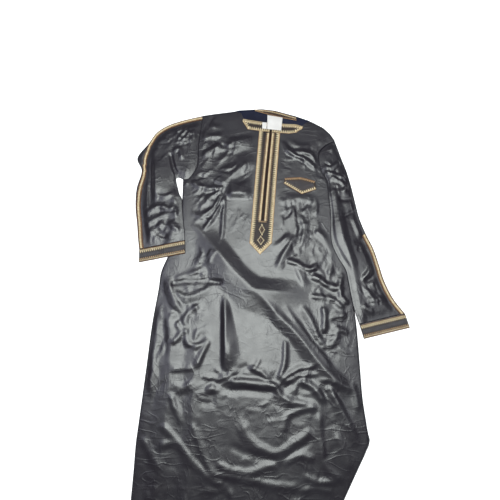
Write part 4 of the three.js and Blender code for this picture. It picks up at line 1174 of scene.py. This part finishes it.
def braid(side):
    """The braid down a sleeve's outer edge."""
    s = np.linspace(max(ARMS[side].braid_from, 0.004), 0.996, 150)[:, None]
    width = sleeve_plan(side, 0 * s, s)[2]
    u = (braid_distance(side, s) + np.linspace(0, 1, 8) * BRAID_WIDTH) / width
    s = np.repeat(s, 8, 1)
    x, y, width = sleeve_plan(side, u, s)
    z = tube_top(x, y, u, width, sleeve_thickness(side, x, y, u, s, width)) + LAYER_GAP / 2 + BAND
    faces = facing_up(x, y, grid_faces(*x.shape))
    band = thicken(make_piece(f"braid_{side}_band", place(x, y, z), faces, GROUND_BROWN), BAND)
    nodes = np.stack([x, y, z], -1)
    lines = [mix(nodes[:, 0, :2], nodes[:, -1, :2], share) for share in (0.08, 0.42, 0.68, 0.90)]
    t = Threads(f"braid_{side}_threads", nearest_height(nodes))
    t.cord(lines[0], 0, 2.2, BROWN)
    t.plait(lines[1], 0, 5.2, CREAM, 2.8)
    t.cord(lines[2], 0, 1.4, TAN)
    t.cord(lines[3], 0, 2.2, BROWN)
    return band, t.build()


def cuff_threads(side):
    u, share = np.meshgrid(np.linspace(0, 1, 120), np.linspace(0, 1, 14))
    x, y, width = cuff_plan(side, u, share)
    z = tube_top(x, y, u, width, cuff_thickness(x, y, u, share, width))
    t = Threads(f"cuff_{side}_threads", nearest_height(np.stack([x, y, z], -1)))
    places = np.linspace(0.012, 0.988, 90)
    down = -1 if side == "right" else 1

    def line(share):
        return np.stack(cuff_plan(side, places, share)[:2], -1)

    t.cord(line(0.03), 0, 1.6, BROWN)
    t.plait(line(0.11), 0, 3.6, CREAM, 2.4)
    t.cord(line(0.96), 0, 2.0, BROWN)
    t.plait(line(0.88), 0, 3.4, CREAM, 2.4)
    t.teeth(line(0.15), 0.6, 6.4, CREAM, 6.2, hand=down)
    t.teeth(line(0.83), 0.6, 5.6, TAN, 6.2, hand=-down)
    t.bars(line(0.30), line(0.70), 3.1, 2.4, BLACK_THREAD, high=0.9, lift=-0.1)
    return t.build()


def seam_stitches():
    """Black stitching of the hem, the sides and the armholes."""
    t = Threads("seam_stitches", front_top)
    ys = np.arange(12.0, ARMPIT_Y - 30, 9)
    hem, sides = [], []
    for column, inward in ((1, 1), (2, -1)):
        hem.append((side_edge(HEM_STITCH, column) + inward * SIDE_STITCH, HEM_STITCH))
        sides.append(np.stack([side_edge(ys, column) + inward * SIDE_STITCH, ys], -1))
    seams = [offset_line(RIGHT_SEAM[4:-4:3], -SEAM_STITCH), offset_line(LEFT_SEAM[4:-4:3], SEAM_STITCH)]
    for line in (hem, *sides, *seams):
        at, ahead, _ = t.path(line, 4.2)
        t.stitches(at, ahead, 2.8, 0.6, BLACK_THREAD, high=0.5, lift=0.05)
    return t.build()


def label(name, foot, head, over_back=False):
    """A blank satin label on the front band; its head may lie on the back, past the front's neckline."""
    x, y = between(foot, head, 16, 24)
    over, up = np.meshgrid(np.linspace(0, 1, 16), np.linspace(0, 1, 24))
    bands = 2 * BAND + LAYER_GAP
    z = front_top(x, y) + bands + LABEL_RISE
    if over_back:
        z = mix(z, BACK_TOP + bands + LABEL_BACK_RISE, smoothstep(*LABEL_DROP, y))
    z = z + LABEL_CURL * np.sin(over * 3.1) * np.sin(up * 2.6 + 0.4)
    return thicken(make_piece(name, place(x, y, z), grid_faces(*x.shape), LABEL), LABEL_WALL)


# --- the robe --------------------------------------------------------------------------------------------

PIECES, THREADS = {}, {}


def wear(node, slot, piece, *threads):
    """Puts a piece in its node's place, with the stitching that goes with it."""
    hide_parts(node)
    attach(piece, "root")
    PIECES[node], THREADS[node] = piece, list(threads)


wear("front_panel", "cloth", front_panel(), seam_stitches())
wear("back_panel", "cloth", back_panel())
wear("turned_corner", "cloth", turned_corner())
for side in ARMS:
    wear(f"sleeve_{side}", "cloth", sleeve(side))
    wear(f"cuff_{side}", "embroidery", cuff(side), cuff_threads(side))
    wear(f"braid_{side}", "embroidery", *braid(side))
    wear(f"neckband_{side}", "embroidery", *neckband(side))
wear("neckband_back", "embroidery", *neckband_back())
wear("placket", "embroidery", *placket())
wear("pocket_welt", "embroidery", *pocket())
wear("neck_label", "label", label("neck_label_satin", *NECK_LABEL, over_back=True))
wear("size_label", "label", label("size_label_satin", *SIZE_LABEL))

# --- floor, light and camera -----------------------------------------------------------------------------

scene = bpy.context.scene
scene.view_settings.view_transform = "Standard"
paper = Shader("floor_paper", Roughness=0.95, IOR=1.2, Emission_Color=(1, 1, 1, 1), Emission_Strength=0.5)
paper.finish(paper.ramp(paper.noise(3, 2), (0.86, 0.86, 0.86), (0.9, 0.9, 0.9)))
corners = [(x, y, -0.5 * MM) for x, y in ((-4, -4), (4, -4), (4, 4), (-4, 4))]
make_piece("floor", corners, [(0, 1, 2, 3)], paper.material)

scene.world = bpy.data.worlds.new("studio")
scene.world.use_nodes = True
background = scene.world.node_tree.nodes["Background"]
background.inputs["Color"].default_value = (0.93, 0.92, 1.0, 1)
background.inputs["Strength"].default_value = 0.16

SOFTBOXES = [
    # name, place, width, length, radiance and colour; all of them face straight down
    ("overhead", (-0.05, 0.12, 2.5), 1.5, 1.46, 9.4, (0.95, 1.0, 0.97)),
    ("overhead, far end", (-0.05, 1.05, 2.5), 1.5, 0.40, 5.4, (0.95, 1.0, 0.96)),
    ("head end", (-0.05, 2.1, 2.5), 3.0, 1.2, 0.4, (0.90, 0.90, 1.0)),
    ("right side", (-1.45, 0.30, 2.5), 1.1, 1.9, 2.0, (0.80, 0.82, 1.0)),
    ("left side", (1.30, 0.30, 2.5), 1.0, 1.9, 1.7, (0.92, 0.95, 1.0)),
]
for name, at, width, length, radiance, colour in SOFTBOXES:
    light = bpy.data.lights.new(name, "AREA")
    light.shape = "RECTANGLE"
    light.size, light.size_y = width, length
    light.energy = radiance * math.pi * width * length
    light.color = colour
    lamp = bpy.data.objects.new(name, light)
    lamp.location = at
    scene.collection.objects.link(lamp)

camera = bpy.data.cameras.new("camera")
camera.lens = 27.22
camera.sensor_width = 36
view = bpy.data.objects.new("camera", camera)
view.location = (ORIGIN_X, ORIGIN_Y + 616 * MM, 1.2)
view.rotation_euler = (math.radians(12), 0, 0)
scene.collection.objects.link(view)
scene.camera = view
